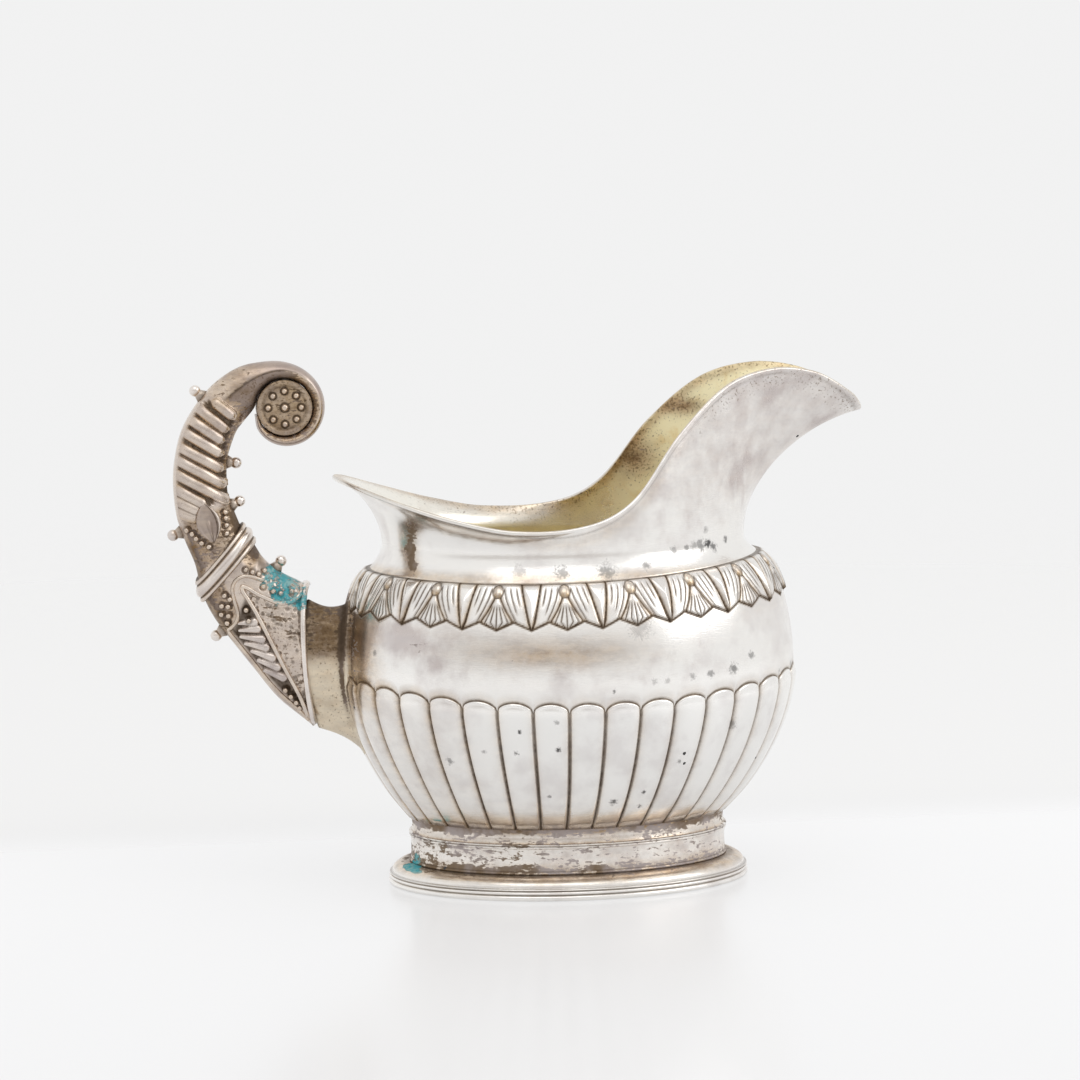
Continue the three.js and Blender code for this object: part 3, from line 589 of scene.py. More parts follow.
@dataclass(frozen=True)
class SilverFinish:
    """Silver with clouds of tarnish, grey veils and dark spots.

    Where the piece is marked it also carries brown hollows, ragged crusts, green bloom and gilt.
    """

    name: str
    clean: Colour = (0.962, 0.949, 0.924)
    cloud: Colour = (0.66, 0.61, 0.6)
    brown: Colour = (0.36, 0.235, 0.12)
    tan: Colour = (0.64, 0.46, 0.27)
    crust_warm: Colour = (0.16, 0.1, 0.05)
    crust_cool: Colour = (0.4, 0.35, 0.345)
    dark: Colour = (0.065, 0.04, 0.022)
    corrosion: Colour = (0.06, 0.058, 0.058)
    verdigris_dark: Colour = (0.015, 0.08, 0.09)
    verdigris: Colour = (0.015, 0.36, 0.42)
    verdigris_pale: Colour = (0.3, 0.5, 0.49)
    gilt: Colour = (0.95, 0.87, 0.58)
    gilt_worn: Colour = (0.87, 0.72, 0.4)
    cloud_size: float = 17.0
    mottle_size: float = 4.2
    streak_size: float = 6.0
    sliver_size: float = 1.6
    scratch_size: float = 2.2
    grain_size: float = 0.9
    pepper_size: float = 0.5
    clouding: float = 0.35
    roughness: float = 0.15
    grit: float = 0.1
    pit_spacing: float = 6.5
    pit_share: float = 0.14
    pit_radius: float = 0.07
    dent_depth: float = 0.13
    spots: tuple[Spot, ...] = ()

    def material(self, bench: Bench) -> bpy.types.Material:
        """Builds the material.

        Args:
            bench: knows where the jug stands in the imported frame.

        Returns:
            The material.
        """
        metal = bpy.data.materials.new(self.name)
        metal.use_nodes = True
        shop = Recipe(metal.node_tree)
        place = shop.place()
        groove, brown, haze, crust, speck, verdigris, gilt = (shop.mark(key) for key in Mark)
        cloud = shop.noise(place, self.cloud_size, 7, 0.62)
        mottle = shop.noise(place, self.mottle_size, 6, 0.6)
        streaky = shop.noise(shop.flattened(place, 3.2), self.streak_size, 7, 0.66)
        grain = shop.noise(place, self.grain_size, 5, 0.6)
        pepper = shop.noise(place, self.pepper_size, 2)
        slivers = shop.noise(shop.flattened(place, 3), self.sliver_size, 4, 0.6)
        scratch = shop.noise(shop.flattened(place, 9), self.scratch_size, 4)
        hazed = (haze + (mottle - 0.5) * 0.7 + (cloud - 0.5) * 0.6).step(0.1, 0.78)
        hazed = hazed * haze.step(0.0, 0.15)
        clouded = (cloud.step(0.46, 0.64) * (0.45 + mottle) * self.clouding + hazed * 0.85).clamp()
        silver = shop.blend(clouded, self.clean, self.cloud)
        silver = shop.blend(gilt, silver, shop.blend(mottle.step(0.48, 0.7), self.gilt, self.gilt_worn))
        warm = (brown * (0.9 * mottle + 0.7 * grain + 0.2)).clamp()
        silver = shop.blend(warm, silver, shop.blend(streaky.step(0.4, 0.6), self.brown, self.tan))
        flakes = (streaky - 0.5) * 1.5 + (slivers - 0.5) * 0.9 + (grain - 0.5) * 0.5
        flaked = (crust + flakes).step(0.5, 0.6) * crust.step(0.02, 0.12)
        crusted = shop.blend(cloud.step(0.42, 0.58), self.crust_warm, self.crust_cool)
        silver = shop.blend(flaked * 0.9, silver, crusted)
        specked = (speck * 0.3 + pepper).step(0.64, 0.74) * speck.step(0.01, 0.1)
        silver = shop.blend(specked * 0.65, silver, self.crust_warm)
        line = (groove * (0.6 + 0.8 * grain)).clamp()
        silver = shop.blend(line, silver, self.dark)
        dirt = shop.specks(place, self.pit_spacing, self.pit_share, self.pit_radius)
        ragged = (grain - 0.5) * 2 + (pepper - 0.5) * 1.8
        for spot in self.spots:
            away = shop.distance(place, bench.in_frame(spot.middle)) * (1 / (spot.radius * MM))
            dirt = dirt.most((away + ragged).step(1.3, 0.3) * spot.strength)
        inside = gilt.step(0.0, 0.1)
        dirt = dirt * (1 - inside)
        silver = shop.blend(dirt, silver, self.corrosion)
        bloom = verdigris + (mottle - 0.5) * 1.6 + (grain - 0.5) * 1.4
        green = bloom.step(0.34, 0.56) * verdigris.step(0.05, 0.2)
        hue = shop.blend((bloom + slivers).step(0.88, 1.16), self.verdigris_dark, self.verdigris)
        hue = shop.blend((streaky + grain).step(1.02, 1.16) * 0.7, hue, self.verdigris_pale)
        silver = shop.blend(green * 0.9, silver, hue)
        dull = warm * 0.08 + flaked * 0.25 + line * 0.3 + dirt * 0.3 + clouded * 0.08 + grain * 0.06
        unevenness = cloud * 0.6 + scratch * 0.12 + grain * self.grit - dirt * 0.15
        shop.surface({
            "Base Color": silver,
            "Metallic": (1 - green * 0.95 - dirt * 0.6 - line * 0.4 - flaked * 0.35 - gilt * 0.4).clamp(),
            "Roughness": (self.roughness + dull + green * 0.5 + gilt * 0.15).clamp(),
            "Normal": shop.bump(unevenness, self.dent_depth),
        })
        return metal


@dataclass(frozen=True)
class TableFinish:
    """A pale, slightly glossy table that fades into the plain backdrop far from the jug."""

    near: Colour = (0.82, 0.822, 0.828)
    far: Colour = (0.79, 0.79, 0.79)
    near_tone: Colour = (0.432, 0.433, 0.438)
    far_tone: Colour = (0.505, 0.505, 0.505)
    own_share: float = 0.6
    edge: float = 46.0
    softness: float = 60.0
    fade_start: float = 380.0
    fade_end: float = 900.0

    def material(self) -> bpy.types.Material:
        """Builds the material."""
        cover = bpy.data.materials.new("pale_table")
        cover.use_nodes = True
        shop = Recipe(cover.node_tree)
        place = shop.place()
        parts = shop.node("ShaderNodeSeparateXYZ", {}, {0: place})
        back = Signal(shop, parts.outputs["Y"]).step(self.edge * MM, (self.edge + self.softness) * MM)
        away = shop.distance(place, Vector((0, 0, 0)))
        seen = shop.seen()
        black = (0.0, 0.0, 0.0)
        shop.surface({
            "Base Color": shop.blend(seen * self.own_share, shop.blend(back, self.near, self.far), black),
            "Emission Color": shop.blend(seen, black, shop.blend(back, self.near_tone, self.far_tone)),
            "Emission Strength": 1.0,
            "Roughness": 0.22 + 0.4 * back,
            "Specular IOR Level": 0.2,
            "Alpha": away.step(self.fade_end * MM, self.fade_start * MM),
        })
        return cover


@dataclass
class Foot:
    """The oval foot: a reeded base, a plain collar and a fillet under the bowl."""

    bench: Bench
    wall: float = 1.7
    reeds: tuple[tuple[float, float], ...] = ((0.0, 1.15), (1.35, 0.75), (2.25, 0.45))
    reed_depth: float = 0.42
    reed_taper: float = 0.1
    reed_gap: float = 0.02
    dome_gap: float = 0.12
    dome_inset: float = 0.45
    dome_ledge: float = 0.5
    bead: float = 0.32
    low_bead_top: float = 0.7
    high_bead_drop: float = 0.62
    collar_hollow: float = 0.22
    fillet_hollow: float = 0.35
    ring_haze: float = 0.2
    bloom_x: float = -37.4
    bloom_width: float = 2.4
    bloom_span: Span = (-17, -14, -5, -2)
    bloom_top: tuple[float, float] = (7, 8)
    round_steps: int = 7
    collar_rows: int = 46
    fillet_rows: int = 12

    def __post_init__(self) -> None:
        """Reads the three rings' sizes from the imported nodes."""
        _, base = self.bench.node_size("foot_base")
        low, collar = self.bench.node_size("foot_collar")
        fillet_low, fillet = self.bench.node_size("foot_fillet")
        self.half_length = base.x
        self.narrower = base.x - base.y
        self.collar_z = low.z
        self.fillet_half = fillet.x
        self.fillet_z = fillet_low.z
        self.top_z = fillet.z
        self.collar_half = collar.x - self.bead

    def base_profile(self) -> list[tuple[float, float]]:
        """Rings of the base: underside, reeded edge and domed top."""
        inner = self.collar_half - self.wall
        turns = np.linspace(0, math.pi, self.round_steps)
        profile = [(inner, 0.0)]
        for low, height in self.reeds:
            edge = self.half_length - self.reed_depth - self.reed_taper * low
            for turn in turns:
                bulge = self.reed_depth * math.sin(turn)
                rise = height * (1 - math.cos(turn)) / 2
                profile.append((edge + bulge, low + rise + self.reed_gap))
        low = self.reeds[-1][0] + self.reeds[-1][1] + self.dome_gap
        out = self.half_length - self.reed_depth - self.dome_inset
        deep = out - self.collar_half - self.dome_ledge
        high = self.collar_z - low
        for turn in np.linspace(0, math.pi / 2, 2 * self.round_steps):
            profile.append((out - deep * (1 - math.cos(turn)), low + high * math.sin(turn)))
        return [*profile, (inner, self.collar_z), (inner, 0.0)]

    def collar_profile(self) -> list[tuple[float, float]]:
        """Rings of the collar, a little hollow in the middle, with a bead at its foot and two at its top."""
        inner = self.collar_half - self.wall
        profile = [(inner, self.collar_z)]
        height = self.fillet_z - self.collar_z
        bead_tops = (self.low_bead_top, height - self.high_bead_drop, height)
        for share in np.linspace(0, 1, self.collar_rows):
            z = share * height
            hollow = self.collar_hollow * math.sin(math.pi * share)
            round_edge = sum(dome(z - top + self.bead, self.bead) for top in bead_tops)
            profile.append((self.collar_half - hollow + self.bead * round_edge, self.collar_z + z))
        return [*profile, (inner, self.fillet_z), (inner, self.collar_z)]

    def fillet_profile(self) -> list[tuple[float, float]]:
        """Rings of the fillet, hollowed towards the bowl."""
        inner = self.fillet_half - self.wall
        height = self.top_z - self.fillet_z
        profile = [(inner, self.fillet_z)]
        for share in np.linspace(0, 1, self.fillet_rows):
            hollow = self.fillet_hollow * math.sin(math.pi * share)
            profile.append((self.fillet_half - hollow, self.fillet_z + share * height))
        return [*profile, (inner, self.top_z), (inner, self.fillet_z)]

    def base_marks(self, points: Array) -> Marks:
        """Tarnish between the reeds and round the collar's foot, and brown up the dome that is partly tarnish
        and partly a painted reflection of the collar.
        """
        z = points[:, 2]
        below = z - self.collar_z
        starts = [low for low, _ in self.reeds[1:]]
        brown = sum(ridge(z - low, 0.2) for low in starts)
        lines = sum(ridge(z - low, 0.1) for low in starts)
        edge = ridge(z - sum(self.reeds[-1]), 0.12)
        return {
            # Brown up the dome towards the collar: partly tarnish, partly a painted reflection of the collar.
            Mark.BROWN: np.clip(0.08 + 0.2 * brown + 0.62 * ease(below, -2.4, 0), 0, 1),
            Mark.GROOVE: np.clip(0.6 * lines + 0.4 * edge + 0.45 * ease(below, -0.25, 0), 0, 1),
            Mark.CRUST: 0.1 + 0.4 * ease(below, -0.9, 0),
            Mark.VERDIGRIS: self.verdigris(points),
        }

    def collar_marks(self, points: Array) -> Marks:
        """Ragged tarnish that climbs from the collar's foot, and dark lines beside its beads."""
        x, _, z = axes(points)
        climb = z - self.collar_z
        top = climb - (self.fillet_z - self.collar_z)
        return {
            Mark.BROWN: 0.25 + 0.45 * ease(climb, 3.4, 0.0),
            Mark.GROOVE: np.clip(0.6 * ridge(climb - 0.75, 0.1) + 0.75 * ridge(top + 0.63, 0.1), 0, 1),
            Mark.CRUST: 0.4 + 0.24 * ease(climb, 3.0, 0.3) + 0.07 * ease(x, 0, -25),
            Mark.HAZE: np.full(len(points), self.ring_haze),
            Mark.VERDIGRIS: self.verdigris(points),
        }

    def fillet_marks(self, points: Array) -> Marks:
        """Ragged tarnish that hangs down from the lobes, thicker towards the handle."""
        x, _, z = axes(points)
        drop = self.top_z - z
        return {
            Mark.BROWN: np.clip(0.4 + 0.6 * ease(drop, 1.8, 0.1) + 0.3 * ridge(drop - 3.2, 0.3), 0, 1),
            Mark.HAZE: np.full(len(points), self.ring_haze),
            Mark.CRUST: 0.38 + 0.3 * ease(drop, 2.6, 0.4) + 0.06 * ease(x, 5, -25),
        }

    def verdigris(self, points: Array) -> Array:
        """A green bloom where base and collar meet, at the near end under the handle."""
        x, y, z = axes(points)
        start = self.collar_z
        spot = ridge(x - self.bloom_x, self.bloom_width) * band(y, self.bloom_span)
        return 1.1 * spot * band(z, (start - 1.1, start - 0.3, *self.bloom_top))

    def build(self, metal: bpy.types.Material) -> None:
        """Makes and dresses the three rings."""
        rings = {
            "foot_base": (self.base_profile(), self.base_marks),
            "foot_collar": (self.collar_profile(), self.collar_marks),
            "foot_fillet": (self.fillet_profile(), self.fillet_marks),
        }
        for node, (profile, marks) in rings.items():
            ring = self.bench.oval_band(f"{node}_ring", profile, self.narrower)
            self.bench.mark(ring, marks)
            self.bench.hand_over(ring, metal, Slot.POLISHED, node)


@dataclass
class LeafFrieze:
    """The stamped frieze under the lip: rayed fans with a pearl between leaves with a ridged wedge."""

    drop: float = 9.6
    notch: float = 0.18
    pitch: float = 8.1
    # Half widths of a fan and of a wedge, as shares of half a pitch, at depths under the lip.
    fan_depths: tuple[float, ...] = (0, 0.18, 0.35, 0.6, 0.84, 1)
    fan_halves: tuple[float, ...] = (0, 0.08, 0.22, 0.55, 0.95, 0.04)
    wedge_depths: tuple[float, ...] = (0, 0.83, 1)
    wedge_halves: tuple[float, ...] = (0.6, 0.17, 0.02)
    # Engraved lines of a petal: place across it from the fan, and the depth where the line ends.
    petal_lines: tuple[tuple[float, float], ...] = ((0.24, 0.9), (0.5, 0.72), (0.76, 0.56))
    fan_rays: tuple[float, ...] = (0.0, 0.36, 0.7)
    boss_place: float = 0.17
    boss_radius: float = 1.2
    boss_height: float = 0.5
    wedge_height: float = 0.75
    wedge_hip: float = 0.4
    leaf_height: float = 0.18
    swell_height: float = 0.24
    line_width: float = 0.24
    line_depth: float = 0.2
    line_strength: float = 1.35

    def relief(self, turn: Array, q: Array) -> tuple[Array, Array, Array]:
        """Height, dark lines and brown tarnish of the frieze.

        Args:
            turn: place along the frieze, in elements, with fans on odd numbers.
            q: depth under the lip, 0 at the lip and 1 at the points.

        Returns:
            Height in millimetres, how dark the engraved lines are, and how brown the ground is.
        """
        half = self.pitch / 2
        x = 2 * np.abs(turn % 2 - 1)
        edge = 1 - self.notch * (1 - np.abs(1 - x))
        inside = ease((edge - q) * self.drop, -0.1, 0.15)
        fan = np.interp(q, self.fan_depths, self.fan_halves)
        wedge = np.interp(q, self.wedge_depths, self.wedge_halves)
        to_wedge = (2 - x - wedge) * half
        to_fan = (x - fan) * half
        petal_width = np.maximum(2 - wedge - fan, 0.05)
        petal = np.clip((x - fan) / petal_width, 0, 1)
        in_wedge = to_wedge <= 0
        in_fan = to_fan <= 0
        in_petal = ~in_wedge & ~in_fan
        fan_side = ease(q, 0.16, 0.26)
        lines = 0.95 * ridge(to_wedge, self.line_width)
        lines = np.maximum(lines, 0.8 * ridge(to_fan, self.line_width) * fan_side)
        for share, end in self.petal_lines:
            vein = ridge((petal - share) * petal_width * half, 0.75 * self.line_width) * in_petal
            lines = np.maximum(lines, 0.75 * vein * ease(q, 0.04, 0.16) * ease(q, end, end - 0.18))
        for share in self.fan_rays:
            ray = ridge((x - share * fan) * half, 0.75 * self.line_width) * in_fan
            lines = np.maximum(lines, 0.75 * ray * ease(q, 0.42, 0.56))
        outline = ridge((q - edge) * self.drop, 1.1 * self.line_width)
        lines = np.maximum(lines * (q < edge), 0.85 * outline)
        lines = np.maximum(lines, 0.6 * ridge(q * self.drop - 0.1, self.line_width))
        halo = np.maximum(ridge(to_wedge, 0.7), ridge(to_fan, 0.7) * fan_side) * inside
        hip = np.minimum(1 - (2 - x) / wedge, q / self.wedge_hip)
        body = self.wedge_height * np.clip(hip, 0, 1) * in_wedge
        body = body + self.swell_height * np.sin(math.pi * petal) ** 0.7 * in_petal
        body = body + self.swell_height * (1 - np.clip(x / np.maximum(fan, 0.02), 0, 1) ** 2) * in_fan
        away = np.hypot(x * half, (q - self.boss_place) * self.drop)
        boss = self.boss_height * dome(away, self.boss_radius)
        ring = ridge(away - self.boss_radius - 0.1, 0.18)
        lines = np.maximum(lines * (away > self.boss_radius + 0.1), 0.65 * ring)
        height = np.where(boss > 0, self.leaf_height + boss, (self.leaf_height + body) * inside)
        brown = np.clip(0.1 + 0.4 * halo + 0.3 * outline + 0.4 * (boss > 0) + 0.5 * lines, 0, 1)
        return height - self.line_depth * lines, np.clip(self.line_strength * lines, 0, 1), brown


@dataclass
class Rows:
    """Rings of the bowl's outside in the making, with the dark lines, brown and relief of each."""

    rings: list[Array] = field(default_factory=list)
    grooves: list[Array] = field(default_factory=list)
    browns: list[Array] = field(default_factory=list)
    reliefs: list[Array] = field(default_factory=list)

    def add(self, ring: Array, groove: Values, brown: Values, relief: Values = 0.0) -> None:
        """Adds one ring and what it carries, as one value for the ring or one for each point."""
        self.rings.append(ring)
        for rows, value in ((self.grooves, groove), (self.browns, brown), (self.reliefs, relief)):
            rows.append(np.broadcast_to(value, len(ring)))


@dataclass
class Bowl:
    """The lobed oval bowl with its leaf frieze and its gilt lining."""

    bench: Bench
    frieze: LeafFrieze = field(default_factory=LeafFrieze)
    belly_rise: float = 34.2
    belly_half: float = 52.0
    belly_lean: float = 0.7
    base_half: float = 36.7
    lip_half: float = 44.8
    lip_rise: float = 58.6
    lip_tilt: float = 1.1
    lip_droop: float = 2.0
    fullness: float = 1.85
    shoulder_start: float = 1.8
    shoulder_roll: float = 0.6
    wall: float = 1.4
    narrower: float = 11.0
    lobes: int = 36
    lobe_columns: int = 36
    lobe_rows: int = 17
    lobe_body: float = 0.9
    lobe_end_rows: tuple[float, ...] = (0.94, 0.97, 0.99, 1.0)
    lobe_shift: float = 0.16
    shift_spread: float = 1.6
    measure_steps: int = 7200
    lobe_rise: float = 31.3
    lobe_droop: float = 3.4
    lobe_arch: float = 2.4
    lobe_step: float = 0.35
    lobe_bulge: float = 0.42
    groove_depth: float = 0.75
    groove_width: float = 0.42
    groove_line: float = 0.32
    foot_inset: float = 2.0
    lip_inset: float = 2.2
    belly_rows: int = 9
    belly_start: float = 1.0
    frieze_rows: int = 40
    frieze_reach: float = 1.14
    frieze_crowding: float = 1.2
    lining_columns: int = 144
    lining_rows: int = 30
    lining_start: float = 0.02
    lining_lap: float = 1.0
    lining_roll: float = 0.6
    haze_patches: tuple[Patch, ...] = (
        Patch(0.85, -41, 60, 5.5, 4), Patch(0.4, -33, 55, 9, 5), Patch(0.28, 8, 53, 26, 4),
    )
    # A brown band across the near side of the belly: partly tarnish and partly a painted reflection of the
    # dark room in front.
    smudge_and_reflection_patch: Patch = Patch(0.58, -8, 57, 17, 2.8)
    blotch_patch: Patch = Patch(0.3, -36, 58, 6, 3)
    # Steps of the crease over a lobe's arch: rise, inset and darkness.
    arch_steps: tuple[tuple[float, float, float], ...] = (
        (0.12, 0.1, 0.6), (0.28, 0.22, 0.9), (0.52, 0.14, 0.35), (0.95, 0.02, 0.0),
    )
    # Dark spots of the near side: x, z, radius and strength.
    near_marks: tuple[Span, ...] = (
        (-15.5, 39.9, 0.5, 0.95), (-16, 34.8, 0.6, 0.8), (-6.9, 35.5, 0.7, 0.95), (-22.9, 35, 0.6, 0.5),
        (-30.2, 32.2, 0.9, 0.6), (-8.4, 24.2, 0.5, 0.6), (-7.6, 41.8, 0.6, 0.5), (5.4, 48.4, 0.5, 0.7),
        (14.4, 50.2, 0.8, 0.3), (17.5, 50, 0.7, 0.3), (23.4, 50.6, 0.8, 0.45), (27.8, 50.9, 0.9, 0.6),
        (33.5, 51.3, 1.3, 0.7), (38.3, 53.7, 1, 0.6), (-45.5, 55.8, 0.7, 0.5), (11.6, 62.3, 2.6, 0.3),
        (6.1, 22.3, 0.9, 0.85), (12.9, 24.3, 0.6, 0.9), (12.2, 20.9, 0.6, 0.8), (20.8, 31.1, 0.6, 0.6),
        (25.3, 35.4, 0.5, 0.5), (33.1, 38.6, 1.3, 0.5),
    )

    def __post_init__(self) -> None:
        """Reads the bowl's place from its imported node."""
        low, _ = self.bench.node_size("bowl")
        self.base_z = low.z
        self.belly_z = self.base_z + self.belly_rise
        self.lip_z = self.base_z + self.lip_rise

    def lip_height(self, angle: Array) -> Array:
        """Height of the lip, which rises to the spout and dips at the sides."""
        return self.lip_z + self.lip_tilt * np.cos(angle) - self.lip_droop * np.sin(angle) ** 2

    def half_length(self, z: Array, angle: Array) -> Array:
        """Half length of the bowl's oval at a height."""
        low = np.clip((z - self.base_z) / self.belly_rise, 0, 1)
        swell = self.base_half + (self.belly_half - self.base_half) * (1 - (1 - low) ** self.fullness)
        high = np.clip((z - self.belly_z) / (self.lip_height(angle) - self.belly_z), 0, 1)
        roll = 1 - (1 - high**self.shoulder_start) ** self.shoulder_roll
        return np.where(z <= self.belly_z, swell, self.belly_half - (self.belly_half - self.lip_half) * roll)

    def lean(self, z: Array, angle: Array) -> Array:
        """How far the belly stands ahead of the foot and the lip."""
        rise = (z - self.base_z) / (self.lip_height(angle) - self.base_z)
        return self.belly_lean * (1 - (2 * rise - 1) ** 4)

    def points(self, angle: Array, z: Array, inset: Values) -> Array:
        """Points of the bowl's skin, moved inwards by the inset."""
        length = self.half_length(z, angle) - inset
        x = self.lean(z, angle) + length * np.cos(angle)
        return np.stack([x, (length - self.narrower) * np.sin(angle), z], axis=-1)

    def columns(self) -> tuple[Array, Array]:
        """Columns of the skin.

        Returns:
            The angle of each column, and its place in lobes, a whole number at each groove.
        """
        fine = np.linspace(0, 2 * math.pi, self.measure_steps + 1)
        x = self.belly_half * np.cos(fine)
        y = (self.belly_half - self.narrower) * np.sin(fine)
        length = np.concatenate([[0], np.cumsum(np.hypot(np.diff(x), np.diff(y)))])
        count = self.lobes * self.lobe_columns
        turn = np.arange(count) / self.lobe_columns
        share = (turn - 0.5) % self.lobes / self.lobes
        drift = np.clip(self.shift_spread * np.sin(2 * math.pi * share), -1, 1)
        share = share + self.lobe_shift / self.lobes * drift
        return np.interp(share * length[-1], length, fine), turn

    def outside(self) -> Skin:
        """Rings of the outside and their marks, from the middle of the underside up to the lip."""
        angle, turn = self.columns()
        across = turn % 1
        to_groove = np.minimum(across, 1 - across) * self.frieze.pitch
        bow = np.clip(1 - (2 * across - 1) ** 2, 0, 1)
        base = np.full_like(angle, self.base_z)
        top = base + self.lobe_rise - self.lobe_droop * np.sin(angle) ** 2 + self.lobe_arch * np.sqrt(bow)
        lip = self.lip_height(angle)
        sole = self.points(angle, base, self.foot_inset)
        left = ease(sole[:, 0], -8, -32)
        rows = Rows()
        rows.add(sole * np.array([0, 0, 1]), 0, 0)
        rows.add(sole, 0, 0.5)
        for share in np.concatenate([np.linspace(0, self.lobe_body, self.lobe_rows), self.lobe_end_rows]):
            cut = (0.62 + 0.38 * math.sin(math.pi * share)) * ridge(to_groove, self.groove_width)
            proud = (self.lobe_step + self.lobe_bulge * bow) * (0.35 + 0.65 * ease(share, 1.0, 0.93))
            proud *= ease(share, -0.08, 0.2)
            ring = self.points(angle, base + share * (top - base), self.groove_depth * cut - proud)
            line = np.clip((1.15 - 0.35 * share) * ridge(to_groove, self.groove_line), 0, 1)
            # Warm brown at the lobes' feet: partly tarnish, partly a painted reflection of the shaded floor
            # and the collar.
            foot = 0.42 * math.exp(-share / 0.11)
            beside = (0.5 + 0.35 * left) * np.exp(-to_groove / 0.6)
            rows.add(ring, line, np.clip(beside + foot + 0.1 * left, 0, 1))
        for rise, inset, dark in self.arch_steps:
            ring = self.points(angle, top + rise, inset + 0.3 * ridge(to_groove, 0.5))
            rows.add(ring, dark, 0.5 * dark + 0.2 + 0.2 * left)
        belly = top + self.belly_start
        start = lip - self.frieze_reach * self.frieze.drop
        for share in np.linspace(0, 1, self.belly_rows)[1:-1]:
            rows.add(self.points(angle, belly + share * (start - belly), 0), 0, 0.05)
        for q in self.frieze_reach * np.linspace(1, 0, self.frieze_rows) ** self.frieze_crowding:
            relief, lines, tarnish = self.frieze.relief(turn, np.full_like(turn, q))
            ring = self.points(angle, lip - q * self.frieze.drop, 0)
            rows.add(ring, lines, tarnish, relief * ease(q, 0.0, 0.05))
        rows.add(self.points(angle, lip, self.lip_inset), 0.5, 0.5)
        skin = np.array(rows.rings)
        skin = skin + np.array(rows.reliefs)[:, :, None] * normals(skin, True)
        marks = {
            Mark.GROOVE: np.array(rows.grooves),
            Mark.BROWN: np.clip(np.array(rows.browns) + self.smudge_and_reflection(skin), 0, 1),
            Mark.HAZE: self.haze(skin),
            Mark.CRUST: self.blotches(skin),
        }
        return skin, marks

    def haze(self, skin: Array) -> Array:
        """Grey tarnish on the near side of the belly, towards the handle and under the frieze."""
        return sum(patch.on(skin) for patch in self.haze_patches) * (skin[:, :, 1] < 0)

    def smudge_and_reflection(self, skin: Array) -> Array:
        """A brown band along the near side of the belly, partly a tarnish smudge and partly a painted
        reflection of the dark room in front, and tarnish beside the handle's socket.
        """
        x, y, z = axes(skin)
        beside = 0.6 * ease(x, -42, -49) * ridge(z - 54, 11)
        return self.smudge_and_reflection_patch.on(skin) * (y < 0) + beside

    def blotches(self, skin: Array) -> Array:
        """Ragged tarnish on the belly towards the handle, round the lobes' feet and beside the socket."""
        x, _, z = axes(skin)
        feet = 0.25 * ease(z - self.base_z, 2.2, 0.3)
        return np.clip(self.blotch_patch.on(skin) + feet + 0.4 * ease(x, -46, -50), 0, 1)

    def spots(self) -> tuple[Spot, ...]:
        """The dark spots of the bowl's near side."""
        return near_spots(self.outside()[0], self.near_marks)

    def lining(self) -> Skin:
        """Rings of the gilt inside and their marks, from the lip down to the middle of the floor."""
        angle = circle(self.lining_columns)
        floor = self.base_z + self.wall
        lip = self.lip_height(angle)
        nothing = np.zeros_like(angle)
        insets = (self.lining_lap, self.wall + self.lining_roll)
        rings = [self.points(angle, lip, inset) for inset in insets]
        for share in np.linspace(self.lining_start, 1, self.lining_rows):
            rings.append(self.points(angle, lip + share * (floor - lip), self.wall))
        rings.append(np.stack([nothing, nothing, nothing + floor], axis=-1))
        skin = np.array(rings)
        full = np.ones(skin.shape[:2])
        return skin, {Mark.GILT: full, Mark.BROWN: 0.1 * full}

    def build(self, metal: bpy.types.Material) -> None:
        """Makes and dresses the bowl and its lining."""
        self.bench.lay("bowl_shell", self.outside(), metal, Slot.POLISHED, "bowl")
        lining = self.bench.sheet("bowl_lining", self.lining())
        lining.data.flip_normals()
        self.bench.hand_over(lining, metal, Slot.POLISHED)


